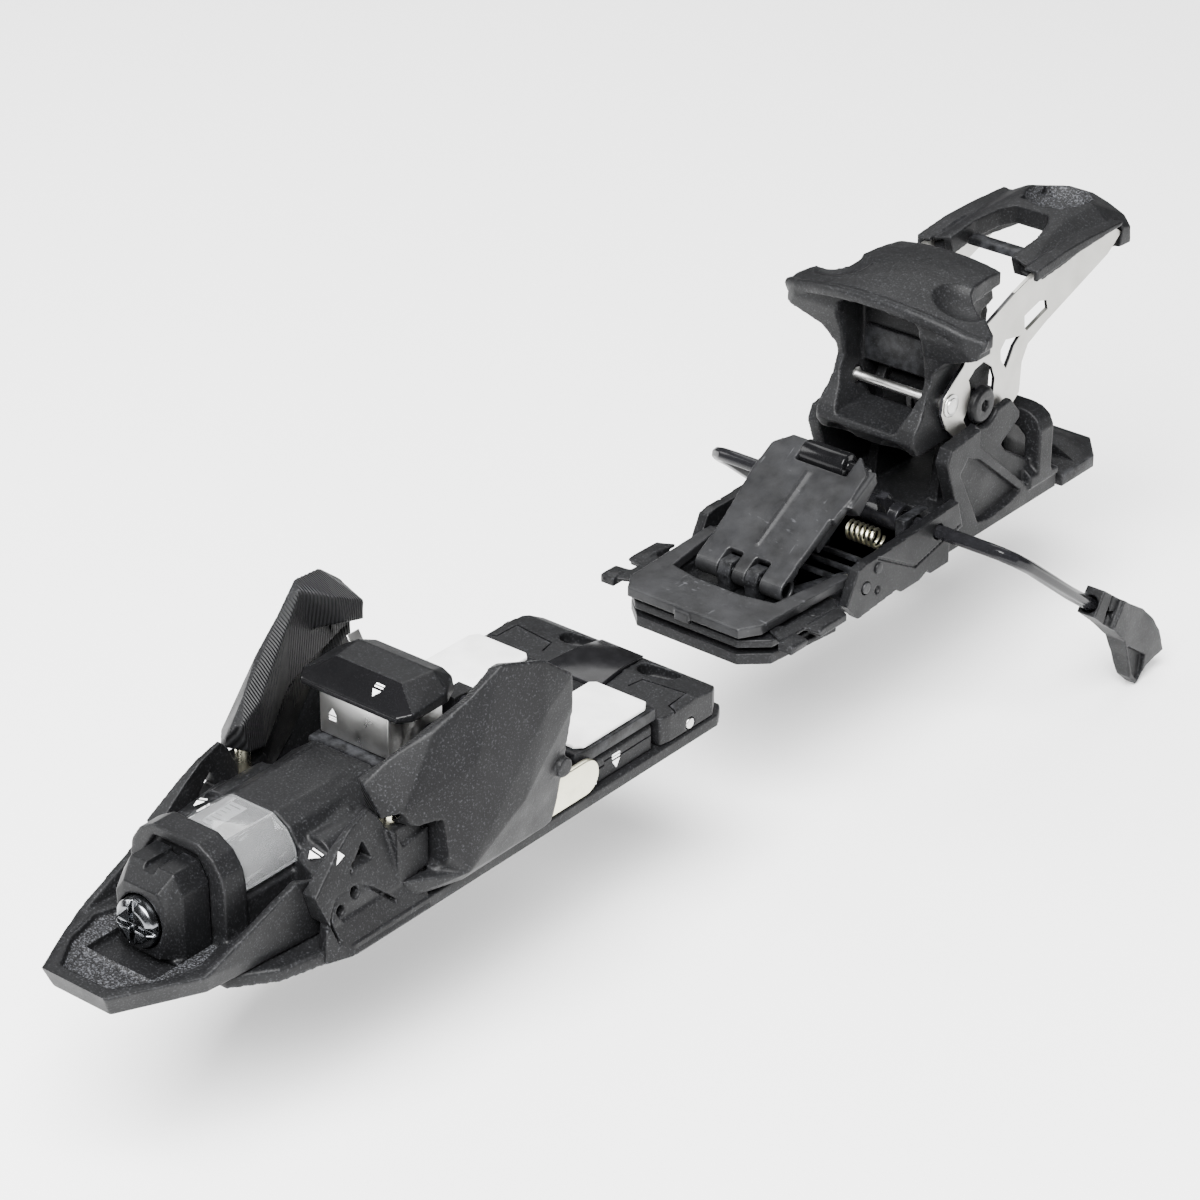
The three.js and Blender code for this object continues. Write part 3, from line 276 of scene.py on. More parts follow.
MATERIALS = {
    "grainy": grainy("grainy", (0.007, 0.0072, 0.008)),
    "ribbed": ribbed("ribbed", (0.0045, 0.0046, 0.005)),
    "scuffed": scuffed("scuffed", (0.006, 0.0061, 0.0066), 0.44),
    "nylon": moulded("nylon", (0.0042, 0.0043, 0.0047), 0.5, 0.55, 0.9),
    "satin": moulded("satin", (0.0038, 0.0039, 0.0043), 0.42, 0.3, 0.8, specks=0.4),
    "gloss": moulded("gloss", (0.004, 0.004, 0.0044), 0.16, 0.05, 0.2, specks=0.05),
    "white": moulded("white", (0.84, 0.84, 0.83), 0.38, 0.1, 0.1, specks=0.0),
    "clear": clear_plastic("clear"),
    "darkchrome": metal("darkchrome", (0.15, 0.155, 0.165), 0.2, dirt=0.4),
    "satinsteel": metal("satinsteel", (0.44, 0.435, 0.41), 0.42, brush=(1, 6, 1)),
    "brightsteel": metal("brightsteel", (0.55, 0.55, 0.54), 0.34, brush=(1, 1, 9), dirt=0.0),
    "zinc": metal("zinc", (0.66, 0.64, 0.5), 0.3, dirt=0.15),
    "blacksteel": moulded("blacksteel", (0.006, 0.006, 0.0068), 0.16, 0.06, 0.3, specks=0.1),
}


# ------------------------------------------------------------ mesh helpers
def new_object(name, bm):
    mesh = bpy.data.meshes.new(name)
    bm.to_mesh(mesh)
    bm.free()
    thing = bpy.data.objects.new(name, mesh)
    bpy.context.scene.collection.objects.link(thing)
    return thing


def soften(bm, bevel, segments, angle):
    bmesh.ops.remove_doubles(bm, verts=bm.verts, dist=WELD)
    bmesh.ops.dissolve_limit(bm, angle_limit=math.radians(1.5), verts=bm.verts, edges=bm.edges)
    if bevel:
        sharp = [e for e in bm.edges if len(e.link_faces) == 2 and e.calc_face_angle(0) > math.radians(angle)]
        bmesh.ops.bevel(bm, geom=sharp, offset=bevel, segments=segments, profile=0.5, affect="EDGES",
                        clamp_overlap=False)


def smooth_shade(mesh, angle=38):
    mesh.polygons.foreach_set("use_smooth", [True] * len(mesh.polygons))
    mesh.set_sharp_from_angle(angle=math.radians(angle))


def refine(node, look=None, bevel=0.4 * MM, segments=2, angle=28):
    """A piece with softened edges in place of a CAD node, riding on the node's body."""
    bm = bmesh.new()
    bm.from_mesh(NODES[node].data)
    soften(bm, bevel, segments, angle)
    return dress(new_object("v_" + node, bm), node, look)


def dress(piece, node, look=None, angle=38):
    smooth_shade(piece.data, angle)
    piece.data.materials.clear()
    piece.data.materials.append(MATERIALS[look or SLOT_OF[node]])
    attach(piece, BODY_OF[node])
    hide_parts(node)
    return piece


def hull(points):
    """Convex solid round points given in millimetres."""
    bm = bmesh.new()
    for point in points:
        bm.verts.new([c * MM for c in point])
    bmesh.ops.convex_hull(bm, input=bm.verts)
    loose = [v for v in bm.verts if not v.link_faces]
    bmesh.ops.delete(bm, geom=loose, context="VERTS")
    bmesh.ops.recalc_face_normals(bm, faces=bm.faces)
    return bm


PLANES = {"x": (1, 2, 0), "y": (0, 2, 1), "z": (0, 1, 2)}


def slab(axis, outline, low, high):
    """Solid with a drawn outline, extruded along one axis, in millimetres."""
    a, b, c = PLANES[axis]
    bm = bmesh.new()
    rings = []
    for depth in (low, high):
        ring = []
        for u, v in outline:
            point = [0, 0, 0]
            point[a], point[b], point[c] = u * MM, v * MM, depth * MM
            ring.append(bm.verts.new(point))
        rings.append(ring)
        bm.faces.new(ring)
    count = len(outline)
    for i in range(count):
        j = (i + 1) % count
        bm.faces.new((rings[0][i], rings[0][j], rings[1][j], rings[1][i]))
    bmesh.ops.recalc_face_normals(bm, faces=bm.faces)
    return bm


def box(x0, x1, y0, y1, z0, z1):
    return slab("z", [(x0, y0), (x1, y0), (x1, y1), (x0, y1)], z0, z1)


def disc_outline(a, b, radius, count=24):
    turns = [TAU * i / count for i in range(count)]
    return [(a + radius * math.cos(t), b + radius * math.sin(t)) for t in turns]


def rod(axis, radius, centre, low, high, count=24):
    return slab(axis, disc_outline(centre[0], centre[1], radius, count), low, high)


def span(side, inner, outer):
    """The x range of a solid on one side, in rising order."""
    return sorted((side * inner, side * outer))


def mirrored(bm):
    bmesh.ops.scale(bm, vec=(-1, 1, 1), verts=bm.verts)
    bmesh.ops.reverse_faces(bm, faces=bm.faces)
    return bm


def pair(bm):
    """The solid on the right, and its mirror image on the left."""
    return [bm, mirrored(bm.copy())]


def facing(side, solids):
    """Solids drawn for the right side, mirrored when the left one is wanted."""
    return list(solids) if side > 0 else [mirrored(solid) for solid in solids]


def evaluated(thing):
    graph = bpy.context.evaluated_depsgraph_get()
    mesh = bpy.data.meshes.new_from_object(thing.evaluated_get(graph))
    thing.modifiers.clear()
    old = thing.data
    thing.data = mesh
    bpy.data.meshes.remove(old)
    return thing


def cad_solid(node):
    bm = bmesh.new()
    bm.from_mesh(NODES[node].data)
    bmesh.ops.remove_doubles(bm, verts=bm.verts, dist=WELD)
    return bm


def sculpt(name, start, adds=(), cuts=(), meets=()):
    return carve(new_object(name, start), adds, cuts, meets)


def carve(thing, adds=(), cuts=(), meets=()):
    """Join and cut solids with exact booleans; the operands are removed afterwards."""
    operands = []
    for kind, solids in (("UNION", adds), ("INTERSECT", meets), ("DIFFERENCE", cuts)):
        for solid in solids:
            tool = new_object(thing.name + "_tool", solid)
            operands.append(tool)
            step = thing.modifiers.new("step", "BOOLEAN")
            step.operation = kind
            step.solver = "EXACT"
            step.object = tool
    if operands:
        evaluated(thing)
    for tool in operands:
        bpy.data.objects.remove(tool)
    return thing


def shaped(start, adds=(), cuts=(), meets=()):
    """A solid worked out first, for use inside another one."""
    thing = sculpt("working_solid", start, adds, cuts, meets)
    bm = bmesh.new()
    bm.from_mesh(thing.data)
    bpy.data.objects.remove(thing)
    return bm


def melt(thing, voxel=0.6, rounds=3, keep=0.3, factor=0.5):
    """Round every edge as a mould does: remesh, relax, then thin the mesh out."""
    remesh = thing.modifiers.new("voxels", "REMESH")
    remesh.mode = "VOXEL"
    remesh.voxel_size = voxel * MM
    relax = thing.modifiers.new("relax", "SMOOTH")
    relax.iterations = rounds
    relax.factor = factor
    thin = thing.modifiers.new("thin", "DECIMATE")
    thin.ratio = keep
    evaluated(thing)
    return thing


def mould(node, adds=(), cuts=(), look=None, voxel=0.6, rounds=3, keep=0.3, start=None, meets=(),
          seams=()):
    """A moulded part; the seams are cut sharp after its edges have been rounded."""
    thing = sculpt("v_" + node, start or cad_solid(node), adds, cuts, meets)
    melt(thing, voxel, rounds, keep)
    carve(thing, cuts=seams)
    return dress(thing, node, look, angle=70)


def crisp(node, adds=(), cuts=(), look=None, bevel=0.4, segments=2, angle=28, start=None):
    thing = sculpt("v_" + node, start or cad_solid(node), adds, cuts)
    bm = bmesh.new()
    bm.from_mesh(thing.data)
    soften(bm, bevel * MM, segments, angle)
    bm.to_mesh(thing.data)
    bm.free()
    return dress(thing, node, look)


def patch(piece, look, test):
    """Give the faces that pass a test of centre (mm) and normal a second material."""
    piece.data.materials.append(MATERIALS[look])
    index = len(piece.data.materials) - 1
    for face in piece.data.polygons:
        if test(face.center / MM, face.normal):
            face.material_index = index


def extra(name, body, slot, start, adds=(), cuts=(), look=None, bevel=0.2, angle=28):
    """A small visual piece that stands for no CAD node."""
    thing = sculpt(name, start, adds, cuts)
    bm = bmesh.new()
    bm.from_mesh(thing.data)
    soften(bm, bevel * MM, 2, angle)
    bm.to_mesh(thing.data)
    bm.free()
    smooth_shade(thing.data)
    thing.data.materials.append(MATERIALS[look or slot])
    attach(thing, body)
    return thing


def plate_on(origin, across, along, outlines, thickness=0.14):
    """Thin printed shapes drawn in a slanted plane: origin, two directions, outlines, all in mm."""
    u, v = Vector(across).normalized(), Vector(along).normalized()
    lift = u.cross(v) * thickness
    bm = bmesh.new()
    for outline in outlines:
        rings = []
        for push in (-1, 1):
            ring = []
            for a, b in outline:
                point = Vector(origin) + u * a + v * b + lift * push
                ring.append(bm.verts.new(point * MM))
            rings.append(ring)
            bm.faces.new(ring)
        for i in range(len(outline)):
            j = (i + 1) % len(outline)
            bm.faces.new((rings[0][i], rings[0][j], rings[1][j], rings[1][i]))
    bmesh.ops.recalc_face_normals(bm, faces=bm.faces)
    return bm


def arrow(a, b, size, bars=1, sign=1):
    """A generic triangle with bars behind it."""
    shapes = [[(a - size, b), (a + size, b), (a, b + sign * size * 1.5)]]
    for i in range(bars):
        low = b - sign * size * (0.5 + 0.55 * i)
        high = low - sign * size * 0.3
        shapes.append([(a - size, low), (a + size, low), (a + size, high), (a - size, high)])
    return shapes


def printed(name, body, origin, across, along, outlines, look="white"):
    thing = new_object(name, plate_on(origin, across, along, outlines))
    thing.data.materials.append(MATERIALS[look])
    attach(thing, body)
    return thing


def ball(centre, radii, tilt=0.0):
    """An ellipsoid, tilted about the Y axis, in mm."""
    bm = bmesh.new()
    bmesh.ops.create_icosphere(bm, subdivisions=4, radius=1)
    bmesh.ops.scale(bm, vec=[c * MM for c in radii], verts=bm.verts)
    bmesh.ops.rotate(bm, matrix=Matrix.Rotation(tilt, 3, "Y"), verts=bm.verts, cent=(0, 0, 0))
    bmesh.ops.translate(bm, vec=[c * MM for c in centre], verts=bm.verts)
    return bm


def tube(points, radius, count=12):
    """Round bar through a list of points, in mm."""
    bm = bmesh.new()
    rings = []
    for i, point in enumerate(points):
        run = (Vector(points[min(i + 1, len(points) - 1)]) - Vector(points[max(i - 1, 0)])).normalized()
        side = run.cross(Vector((0.3, 0.9, 0.31))).normalized()
        up = run.cross(side)
        turns = [TAU * k / count for k in range(count)]
        rings.append([bm.verts.new((Vector(point) + (side * math.cos(t) + up * math.sin(t)) * radius) * MM)
                      for t in turns])
    for low, high in zip(rings, rings[1:]):
        for k in range(count):
            j = (k + 1) % count
            bm.faces.new((low[k], low[j], high[j], high[k]))
    bm.faces.new(rings[0])
    bm.faces.new(rings[-1])
    bmesh.ops.recalc_face_normals(bm, faces=bm.faces)
    return bm


def groove(axis, path, width, low, high):
    """Cutter that follows an open path with a constant width."""
    left, right = [], []
    for i, point in enumerate(path):
        before = Vector(path[max(i - 1, 0)])
        after = Vector(path[min(i + 1, len(path) - 1)])
        run = (after - before).normalized()
        side = Vector((-run.y, run.x)) * width / 2
        left.append(tuple(Vector(point) + side))
        right.append(tuple(Vector(point) - side))
    return slab(axis, left + right[::-1], low, high)


# ------------------------------------------------------------- toe wings
def wing_solids():
    front = hull([(24.4, -97, 47), (24.4, -94, 36), (28, -98.6, 46.5), (34.4, -97.5, 36), (31, -89, 53),
                  (39, -92.5, 37.6), (25.5, -86, 34), (27, -86, 50)])
    ridge = hull([(31, -89, 53), (39, -92.5, 37.6), (25.5, -86, 34), (27, -86, 50), (41, -63, 66),
                  (45.8, -66, 45), (36, -64, 42), (37, -62, 64), (38, -76, 59)])
    crest = hull([(41, -63, 66), (45.8, -66, 45), (36, -64, 42), (37, -62, 64), (44, -51, 73.8),
                  (47.8, -36, 70.2), (50.3, -38, 52.5), (42, -36, 46), (40, -50, 48), (40, -52, 72)])
    rear = hull([(47.8, -36, 70.2), (50.3, -38, 52.5), (50.3, -24.4, 61), (50.3, -24.4, 50),
                 (44, -25, 48), (42, -36, 46), (44, -29, 64), (40, -40, 66)])
    hook = hull([(40, -54, 72), (44, -51, 73.8), (47.8, -36, 70.2), (45, -28, 63), (33, -31, 54.4),
                 (33, -30.6, 61), (32.6, -40, 57), (34, -43, 67), (40, -50, 56), (44, -27, 52)])
    panel = hull([(39, -92.5, 37.6), (45.8, -66, 45), (50.3, -38, 52.5), (50.5, -39.4, 44),
                  (50.5, -48.7, 26), (49, -73.6, 11), (41.4, -79.6, 9), (41, -82, 31), (33, -92, 32),
                  (37, -64, 40), (43, -38, 48), (43.6, -48, 26), (40.6, -73, 9), (36.4, -80, 9)])
    tail = hull([(50.3, -38, 52.5), (50.5, -39.4, 44), (50.5, -48.7, 26), (49, -73.6, 11),
                 (50.3, -24.4, 50), (49, -25.6, 40), (46.4, -25.6, 27), (44.4, -25.6, 14),
                 (44, -28, 5.6), (44.4, -72, 5.6), (43.6, -26, 48), (42.6, -28, 9), (40.8, -70, 8)])
    lip = hull([(39, -93.6, 13), (41.4, -79, 12.6), (38.6, -91, 5.6), (44.4, -72, 5.6), (49, -73.6, 11),
                (34, -91, 5.6), (34, -92, 12), (38, -70, 6)])
    boss = rod("x", 3.4, (-28, 28), 43, 50)
    return front, [ridge, crest, rear, hook, panel, tail, lip, boss]


def toe_wing(side, word):
    start, adds = wing_solids()
    notch = slab("x", [(-99, 32.6), (-79.4, 31), (-79.4, 13.4), (-99, 15)], 29, 60)
    crease = groove("x", [(-28, 21.5), (-34, 27), (-33, 33), (-24, 35.4)], 0.9, 47.2, 60)
    start, *adds = facing(side, [start, *adds])
    wing = mould("toe_wing_" + word, adds, facing(side, [notch, crease]), start=start, voxel=0.6,
                 rounds=1, keep=0.28)
    patch(wing, "ribbed", lambda c, n: n.x * side < -0.3 and c.z > 34 and abs(c.x) < 47)


for side, word in SIDES:
    toe_wing(side, word)
for side, word in SIDES:
    pin = rod("z", 2.5, (side * WING_PIN_X, WING_PIN_Y), 5, 38)
    crisp("wing_pin_" + word, start=pin, look="zinc", bevel=0.3)


# --------------------------------------------------------- toe side frames
def side_frame(side, word):
    outline = [(-123.6, 6), (-125.4, 14), (-121.4, 20.4), (-110.6, 20.8), (-97.4, 8.4)]
    rim = groove("x", outline, 1.0, 36.7, 42)
    edge = groove("x", [(-113.6, 24.4), (-105.6, 34.6), (-101.6, 33.4), (-101.4, 23.6)], 0.8, 34.4, 42)
    tab = hull([(31, -95, 25), (31, -81.6, 26), (37.4, -95, 25), (37.4, -81.6, 26), (31, -96, 31.6),
                (31, -81.6, 30.4), (36.6, -96, 31.6), (36.6, -81.6, 30.4)])
    skirt = hull([(38.4, -127.6, 12), (38.5, -84, 12), (38.9, -129, 0.5), (42.2, -120.4, 0.5),
                  (42.2, -84, 0.5), (36, -84, 0.5), (34, -128, 0.5), (34, -126, 12), (34, -84, 12)])
    adds, cuts = facing(side, [tab, skirt]), facing(side, [rim, edge])
    mould("side_frame_" + word, adds, cuts, voxel=0.42, rounds=2, keep=0.25)
    place = (side * 34.6, -116.6, 30.6)
    printed("v_frame_arrow_" + word, "base", place, (0, side, side * 0.5), (-side * 0.23, 0, 0.97),
            arrow(0, 0, 2.0, 0))


for side, word in SIDES:
    side_frame(side, word)


# --------------------------------------------------------------- toe housing
def toe_housing():
    flare = hull([(17.5, -117.5, 8), (17.5, -117.5, 30), (29.6, -121, 25), (30, -104, 26.6),
                  (22, -94, 30), (17.5, -94, 33), (22, -94, 8), (30, -104, 8), (29.8, -121, 8)])
    cushion = rod("y", 7.4, (20.6, 24.4), -113, -90, 28)
    step = groove("z", [(-11.4, -193), (-13, -190), (-19.6, -180.4), (-23.6, -166.6)], 0.9, 12.2, 20)
    seam = groove("x", [(-117.4, 8.6), (-108, 12), (-96, 12)], 0.8, 29.4, 34)
    pocket = hull([(-9.6, -191.4, 9.4), (9.6, -191.4, 9.4), (-14, -178.6, 9.4), (14, -178.6, 9.4),
                   (-10.4, -192.4, 16), (10.4, -192.4, 16), (-15, -178.6, 16), (15, -178.6, 16)])
    cuts = pair(seam) + pair(step) + [pocket]
    housing = mould("toe_housing", pair(flare) + pair(cushion), cuts, voxel=0.6, rounds=3, keep=0.3)
    patch(housing, "grainy", lambda c, n: c.y < -153 and 9 < c.z < 12.05 and n.z > 0.5 and abs(c.x) < 24)
    for side, word in SIDES:
        place, across = (side * 24.4, -117.0, 28.95), (1, side * 0.15, -side * 0.36)
        printed("v_deck_arrow_" + word, "base", place, across, (0, 1, 0.08), arrow(0, 0, 2.0, 1, -1))


toe_housing()
mould("adjuster_block", voxel=0.42, rounds=2, keep=0.28)
refine("adjuster_screw", bevel=0.5 * MM, segments=3)


def scale_card():
    extra("v_scale_card", "base", "white",
          box(-7, -0.6, -140.4, -120.6, CARD_TOP_Z - 0.2, CARD_TOP_Z), bevel=0.05)
    ticks = []
    for i in range(9):
        length = 4.4 if i % 4 == 0 else 2.6
        y = -138.6 + 2 * i
        ticks.append([(-6.2, y), (-6.2 + length, y), (-6.2 + length, y + 0.5), (-6.2, y + 0.5)])
    thing = new_object("v_scale_ticks",
                       plate_on((0, 0, CARD_TOP_Z + 0.02), (1, 0, 0), (0, 1, 0), ticks, 0.05))
    thing.data.materials.append(MATERIALS["blacksteel"])
    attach(thing, "base")


scale_card()


# ----------------------------------------------------------------- toe lever
def toe_lever():
    cap = mould("lever_cap", voxel=0.42, rounds=2, keep=0.28)
    patch(cap, "gloss", lambda c, n: n.y < -0.3 and n.z > 0.15)
    slope = (0, 10, 6)
    printed("v_cap_arrow", "mode_lever", (7.6, -71.7, 57.8), (1, 0, 0), slope, arrow(0, 3.0, 1.7, 2, -1))
    plate = slab("x", [(-76.0, 37.2), (-76.2, 36), (-75.4, 32.6), (-74, 31.4), (-71, 33.4),
                       (-69.6, 37.4)], -16.4, 16.4)
    extra("v_kick_plate", "mode_lever", "satin", plate, bevel=0.5)
    wrap = slab("z", [(17.4, -49.5), (17.4, -68.6), (14.4, -72.2), (-14.4, -72.2), (-17.4, -68.6),
                      (-17.4, -49.5), (-15.8, -49.5), (-15.8, -68.2), (-13.8, -70.6), (13.8, -70.6),
                      (15.8, -68.2), (15.8, -49.5)],
                37.7, 53.7)
    hole = rod("x", 3.3, (-57, 41.2), -20, 20)
    shave = slab("x", [(-57, 36), (-47.5, 47), (-47.5, 36)], -20, 20)
    crisp("lever_bracket", [], [hole, shave], start=wrap, bevel=0.5, segments=3)
    printed("v_bracket_arrow", "mode_lever", (-9, -72.2, 42.6), (1, 0, 0), (0, 0, 1), arrow(0, 3, 1.5, 2))


toe_lever()


# ------------------------------------------------- pad tower and cross plate
def pad_blocks():
    seam = groove("x", [(-9.4, 4), (-9.4, 10.2), (4, 10.2), (4, 11.6), (12, 11.6), (12, 10.4),
                        (30, 10.4)], 0.7, 38.7, 42)
    mould("pad_tower", voxel=0.4, rounds=2, keep=0.28, seams=pair(seam))
    edge = groove("z", [(18.8, 41.9), (20, 48), (37, 50), (37.6, 40), (43, 38)], 0.8, 14.7, 20)
    mould("cross_plate", voxel=0.55, rounds=2, keep=0.3, seams=pair(edge))
    body = BODY_OF["pad_tower"]
    printed("v_tower_mark_low", body, (39.5, -2, 6.6), (0, 1, 0), (0, 0, 1), arrow(0, 0, 1.9, 2))
    printed("v_tower_mark_high", body, (39.5, 10, 9.6), (0, 1, 0), (0, 0, 1), arrow(0, 0, 1.9, 2, -1))


pad_blocks()


# ---------------------------------------------------------------- heel jaw
def jaw():
    dome = ball((0, 232, 60), (70, 66, 40.4))
    scoops = [ball((side * 25, 219, 101.6), (15, 12, 8.4), side * 0.45) for side in (1, -1)]
    # Sections of the crown from the middle outwards: x, front y, underside z, back y.
    sections = [(0, 200.6, 93.4, 250.6), (14, 201, 92.6, 250.6), (22.2, 202.2, 91.2, 250.6),
                (24.4, 202.6, 90.7, 228.5), (30, 204, 89.2, 224), (36, 205.4, 87.2, 220),
                (43.4, 209.4, 84.8, 215.5)]
    crown = []
    for (x0, *near), (x1, *far) in zip(sections, sections[1:]):
        for side in (1, -1):
            corners = []
            for x, (front, low, back) in ((x0, near), (x1, far)):
                corners += [(side * x, y, z) for y in (front, back) for z in (low, 101)]
            crown.append(hull(corners))
    half = [(x, front + 2, low + 2.4) for x, front, low, back in sections]
    lip = tube([(-x, y, z) for x, y, z in half[:0:-1]] + half, 2.3)
    visor = slab("y", [(-17, 60), (-17.8, 88), (-13, 92), (-5, 93.4), (5, 93.4), (13, 92), (17.8, 88),
                       (17, 60)],
                 190, 222)
    flare = hull([(-20.6, 196, 86), (20.6, 196, 86), (-20, 196, 62), (20, 196, 62), (-15, 196, 55),
                  (15, 196, 55), (-17.2, 213, 84), (17.2, 213, 84), (-17.2, 213, 60), (17.2, 213, 60)])
    waist = [ball((side * 30, 206, 66), (8.6, 14, 9)) for side in (1, -1)]
    chin = [ball((side * 12, 198, 38), (8, 8, 6.5)) for side in (1, -1)]
    notch = [slab("x", [(240, 84), (240, 70), (244, 66), (262, 66), (262, 88)], *span(side, 17, 22))
             for side in (1, -1)]
    body = shaped(cad_solid("jaw_shell"), crown, scoops, [dome])
    mould("jaw_shell", [lip], [visor, flare] + waist + chin + notch, start=body, voxel=0.65, rounds=3,
          keep=0.3)
    shaft = rod("x", 1.8, RIVET, -24.6, 24.6)
    ends = [rod("x", 3, RIVET, *span(side, 17.2, 24.7)) for side in (1, -1)]
    heads = []
    for side in (1, -1):
        heads += [rod("x", 4.4, RIVET, *span(side, 24.5, 24.95)),
                  rod("x", 3.0, RIVET, *span(side, 24.8, 25.5))]
    crisp("lever_rivet", ends + heads, start=shaft, bevel=0.2)


jaw()


# ------------------------------------------------------- heel lever and cap
def heel_cap():
    tips = []
    for side in (1, -1):
        tips.append(hull([(side * 16.4, 268, 92), (side * 22, 268, 89), (side * 22.4, 268, 86.8),
                          (side * 17, 268, 87), (side * 16.4, 272.6, 92), (side * 22, 272.6, 89),
                          (side * 22.4, 272.6, 86.8), (side * 17, 272.6, 87)]))
    skirts = []
    for side in (1, -1):
        skirts.append(slab("x", [(266, 70), (266, 85), (288, 87), (314, 91), (326.5, 91.2), (326.5, 70)],
                           *span(side, 22.2, 30)))
    pocket = ball((0, THUMB_POCKET_Y, 102), (14, 15, 10.4))
    flank = [(267.4, 87.6), (288, 89.6), (314, 91), (324, 91.4), (324, 93), (300, 94), (285, 93.8),
             (267.4, 92)]
    bridge = [(267.4, 90.6), (290, 92.3), (322, 91.8), (324, 93), (300, 94), (285, 93.8), (267.4, 92)]
    covers = []
    for side in (1, -1):
        covers.append(slab("x", flank, *span(side, 24.9, 26.8)))
        covers.append(slab("x", bridge, *span(side, 21, 26.8)))
    cap = mould("heel_lever_cap", covers, tips + skirts + [pocket], voxel=0.45, rounds=2, keep=0.3)

    def in_pocket(centre, normal):
        inside = (centre.x / 13) ** 2 + ((centre.y - THUMB_POCKET_Y) / 14) ** 2 < 0.9
        return inside and normal.z > 0.2 and centre.z > 90

    patch(cap, "grainy", in_pocket)


heel_cap()


def lever_plate(side, word):
    outline = [(213.3, 53.3), (214.2, 59.4), (220, 64.4), (226, 68.5), (229, 75), (233, 77.4),
               (241, 80.5), (257, 86.4), (268, 89.8), (290, 91.8), (322, 90.8), (327.6, 87),
               (318.8, 80.8), (278.7, 67.2), (267.4, 62.3), (264, 56.3), (263.3, 44.4), (259.4, 41.6),
               (238.4, 38.2), (225, 38.6), (216.3, 46.6)]
    turns = [step / 10 for step in range(-8, 6)]
    inner = [(RIVET[0] + SLOT_RADIUS * math.cos(t), RIVET[1] + SLOT_RADIUS * math.sin(t)) for t in turns]
    slot = inner + [(231.6, 63), (233.2, 64.3), (238.8, 65.4), (244.2, 61.5), (246.6, 56.2),
                    (246.3, 51.4), (245.5, 46.1), (241, 42.4), (236, 41.2), (230, 42.4)]
    upper = [(264.3, 74.7), (273.8, 77.3), (278.5, 76.1), (279.5, 72.5), (277, 71.8), (266.2, 68.4),
             (264.8, 69.7)]
    lower = [(249.6, 66.3), (252.5, 69.3), (261.7, 67.6), (258.1, 64.9), (253.5, 57.7), (249.9, 62.2)]
    low, high = span(side, PLATE_INNER, PLATE_OUTER)
    cuts = [slab("x", path, *span(side, 20, 27)) for path in (slot, upper, lower)]
    cuts.append(rod("x", 3.4, RIVET, *span(side, 20, 27)))
    plate = crisp("lever_plate_" + word, [], cuts,
                  start=slab("x", outline, low, high), bevel=0.2, segments=1)
    patch(plate, "blacksteel", lambda c, n: abs(n.x) < 0.3 and (n.z < 0.5 or c.y < 262))


for side, word in SIDES:
    lever_plate(side, word)
refine("main_axle", look="satin", bevel=0.5 * MM, segments=3)


# --------------------------------------------------------------- other parts
def on_pedal(bm):
    """Turn a solid drawn on the flat pedal up to the pedal's rest slope."""
    turn = Matrix.Rotation(PEDAL_SLOPE, 3, "X")
    bmesh.ops.rotate(bm, verts=bm.verts, cent=PEDAL_HINGE, matrix=turn)
    return bm


def pedal():
    cheek = on_pedal(hull([(17, 166, 19), (23.4, 167.4, 18.4), (17, 183, 19), (22.4, 185, 17),
                           (18, 169, 9), (22.6, 170, 10), (18, 183, 11), (22, 184, 12)]))
    spine = on_pedal(hull([(-1.4, 140, 18.8), (1.4, 140, 18.8), (-2.4, 176, 18.8), (2.4, 176, 18.8),
                           (0, 141, 19.8), (0, 175, 20)]))
    window = on_pedal(box(-8.6, 14.2, 178.4, 192, 10, 24))
    step = on_pedal(box(19.2, 30, 140, 160, 10, 24))
    mould("brake_pedal", [cheek, spine], [window, step], look="scuffed", voxel=0.42, rounds=2, keep=0.25)
    pin = rod("x", 2.1, PEDAL_ROLLER, -19.6, 19.6)
    barrel = rod("x", 5, PEDAL_ROLLER, -8, 11, 32)
    crisp("pedal_roller", [on_pedal(barrel)], start=on_pedal(pin), look="gloss", bevel=0.6, segments=3)


pedal()


def tabs():
    solids = []
    for side in (1, -1):
        for y0, y1 in ((101.6, 110.4), (118.4, 133.6)):
            low, high = span(side, 36.4, 42.4)
            solids.append(hull([(x, y, z) for x in (low, high) for y in (y0, y1) for z in (9.6, 12.6)]
                               + [(side * 37.4, (y0 + y1) / 2, 13.4), (side * 41.6, y0 + 1.5, 13.3)]))
    mould("lock_slider", solids, voxel=0.42, rounds=3, keep=0.3)


tabs()


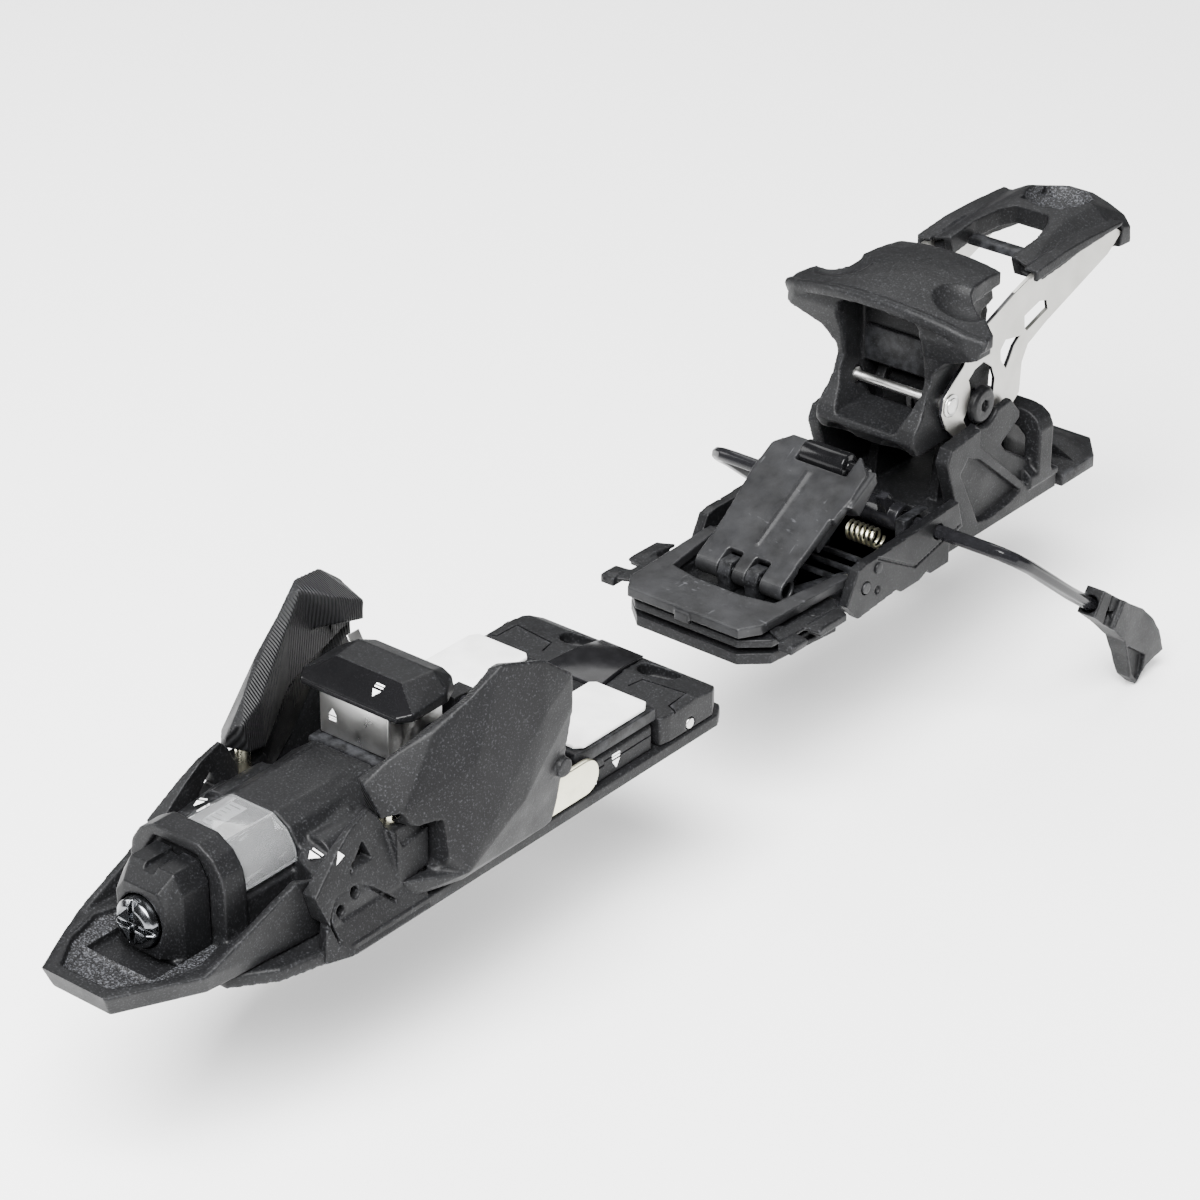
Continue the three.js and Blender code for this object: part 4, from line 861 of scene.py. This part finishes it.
def carriage():
    gusset = [(208.4, 38.3), (211, 41), (219.3, 41), (228.4, 37.4), (262, 7.6), (279.6, 5), (279.5, 1),
              (206.4, 1), (206.4, 10), (217, 12.2)]
    pocket = [(216.8, 30.4), (221.5, 35.4), (229, 32), (257, 8.6), (250, 6.4), (236.2, 5), (229.4, 6.4)]
    above = [(228.4, 37.8), (262.2, 8), (284, 8), (284, 60), (228.4, 60)]
    behind = [(247, 30.5), (258.5, 37), (258.5, 60), (290, 60), (290, 8), (280, 8), (262, 19.4),
              (250, 27)]
    arch = [(-32.4, 8), (-32.4, 29), (-30.6, 33), (-27, 35.4), (-22, 36.2), (22, 36.2), (27, 35.4),
            (30.6, 33), (32.4, 29), (32.4, 8), (25.4, 8), (25.4, 25), (22, 28.4), (-22, 28.4),
            (-25.4, 25), (-25.4, 8)]
    ramp = [hull([(side * 32.4, 262, 7), (side * 26, 262, 7), (side * 32.4, 262, 12),
                  (side * 26, 262, 17), (side * 32.4, 281, 7), (side * 26, 281, 7),
                  (side * 32.4, 281, 9.4), (side * 26, 281, 10)])
            for side in (1, -1)]
    fills, cuts = [], []
    for side in (1, -1):
        fills.append(slab("x", gusset, *span(side, 27, 31.4)))
        cuts += [slab("x", pocket, *span(side, 28.4, 36)), slab("x", above, *span(side, 28.5, 36)),
                 slab("x", behind, *span(side, 24.6, 36))]
    first = shaped(cad_solid("carriage"), fills, cuts)
    mould("carriage", [slab("y", arch, 267, 276)] + ramp, start=first, voxel=0.55, rounds=2, keep=0.25)


def brake_foot(side, word):
    clip = [(238, -30), (250, -10), (261.6, -24.4), (253.6, -36.4)]
    pocket = [(267.4, -46.4), (282.4, -57), (281.4, -66), (279, -66.6), (274.4, -62), (270.6, -54)]
    cuts = [slab("x", clip, *span(side, 74.6, 82)), slab("x", clip, *span(side, 60, 66.8)),
            slab("x", pocket, *span(side, 72.3, 80)), slab("x", pocket, *span(side, 60, 69.8))]
    band = groove("x", [(257.6, -18), (250.4, -33)], 1.2, *span(side, 73.9, 80))
    mould("brake_foot_" + word, [], cuts + [band], voxel=0.4, rounds=2, keep=0.3)


carriage()
for side, word in SIDES:
    brake_foot(side, word)


def chassis_details():
    turns = 6
    points = []
    for i in range(turns * 12 + 1):
        angle = TAU * i / 12
        points.append((5 + 13 * i / (turns * 12), 186 + 3.4 * math.cos(angle),
                       12.4 + 3.4 * math.sin(angle)))
    extra("v_arm_spring", "heel_carriage", "zinc", tube(points, 0.6, 8), bevel=0)
    ribs = [box(-24, 24, y, y + 1.2, 7.2, 9.4) for y in (158, 166, 174)]
    extra("v_floor_ribs", "heel_carriage", "satin", box(-1, 1, 152, 180, 7.2, 9.8), ribs, bevel=0.2)
    for side, word in SIDES:
        low, high = span(side, 35.4, 36.3)
        extra("v_wall_rivets_" + word, "heel_carriage", "satin", rod("x", 2.1, (161, 17), low, high),
              bevel=0.3)


chassis_details()
mould("climb_flap", look="scuffed", voxel=0.42, rounds=2, keep=0.28)
MOULDED = {
    "front_skid": (0.5, 2, 0.3), "lever_post": (0.5, 2, 0.3), "chassis_wall_right": (0.4, 2, 0.3),
    "chassis_wall_left": (0.4, 2, 0.3), "toe_base_plate": (0.8, 2, 0.3),
}
DONE = {thing.name[2:] for thing in bpy.data.objects if thing.name.startswith("v_")}
for node in sorted(set(NODES) - DONE):
    if node in MOULDED:
        voxel, rounds, keep = MOULDED[node]
        mould(node, voxel=voxel, rounds=rounds, keep=keep)
    else:
        refine(node)


# ------------------------------------------------------- floor and lights
def add_floor():
    low = CAD_BOX[0][2]
    bm = bmesh.new()
    bmesh.ops.create_grid(bm, x_segments=1, y_segments=1, size=6)
    floor = new_object("floor", bm)
    floor.location = (0, 0, low - 0.3 * MM)
    s = Shader("floor", (0.98, 0.98, 0.98), 0.8)
    floor.data.materials.append(s.material)


def add_light(name, place, target, size, power):
    data = bpy.data.lights.new(name, "AREA")
    data.shape = "RECTANGLE"
    data.size, data.size_y = size
    data.energy = power
    light = bpy.data.objects.new(name, data)
    light.location = place
    light.rotation_euler = (Vector(target) - Vector(place)).to_track_quat("-Z", "Y").to_euler()
    bpy.context.scene.collection.objects.link(light)


def add_world():
    world = bpy.data.worlds.new("studio")
    bpy.context.scene.world = world
    world.use_nodes = True
    world.node_tree.nodes["Background"].inputs["Color"].default_value = (1, 1, 1, 1)
    world.node_tree.nodes["Background"].inputs["Strength"].default_value = 0.1


add_floor()
add_light("key", (0.7, -1.2, 1.9), (0, 0.06, 0), (1.6, 1.6), 340)
add_light("top", (-0.5, 1.0, 1.4), (0, 0.06, 0), (1.4, 0.8), 22)
add_light("side", (-1.5, -0.6, 0.9), (0, 0.06, 0.02), (0.9, 0.9), 30)
add_world()
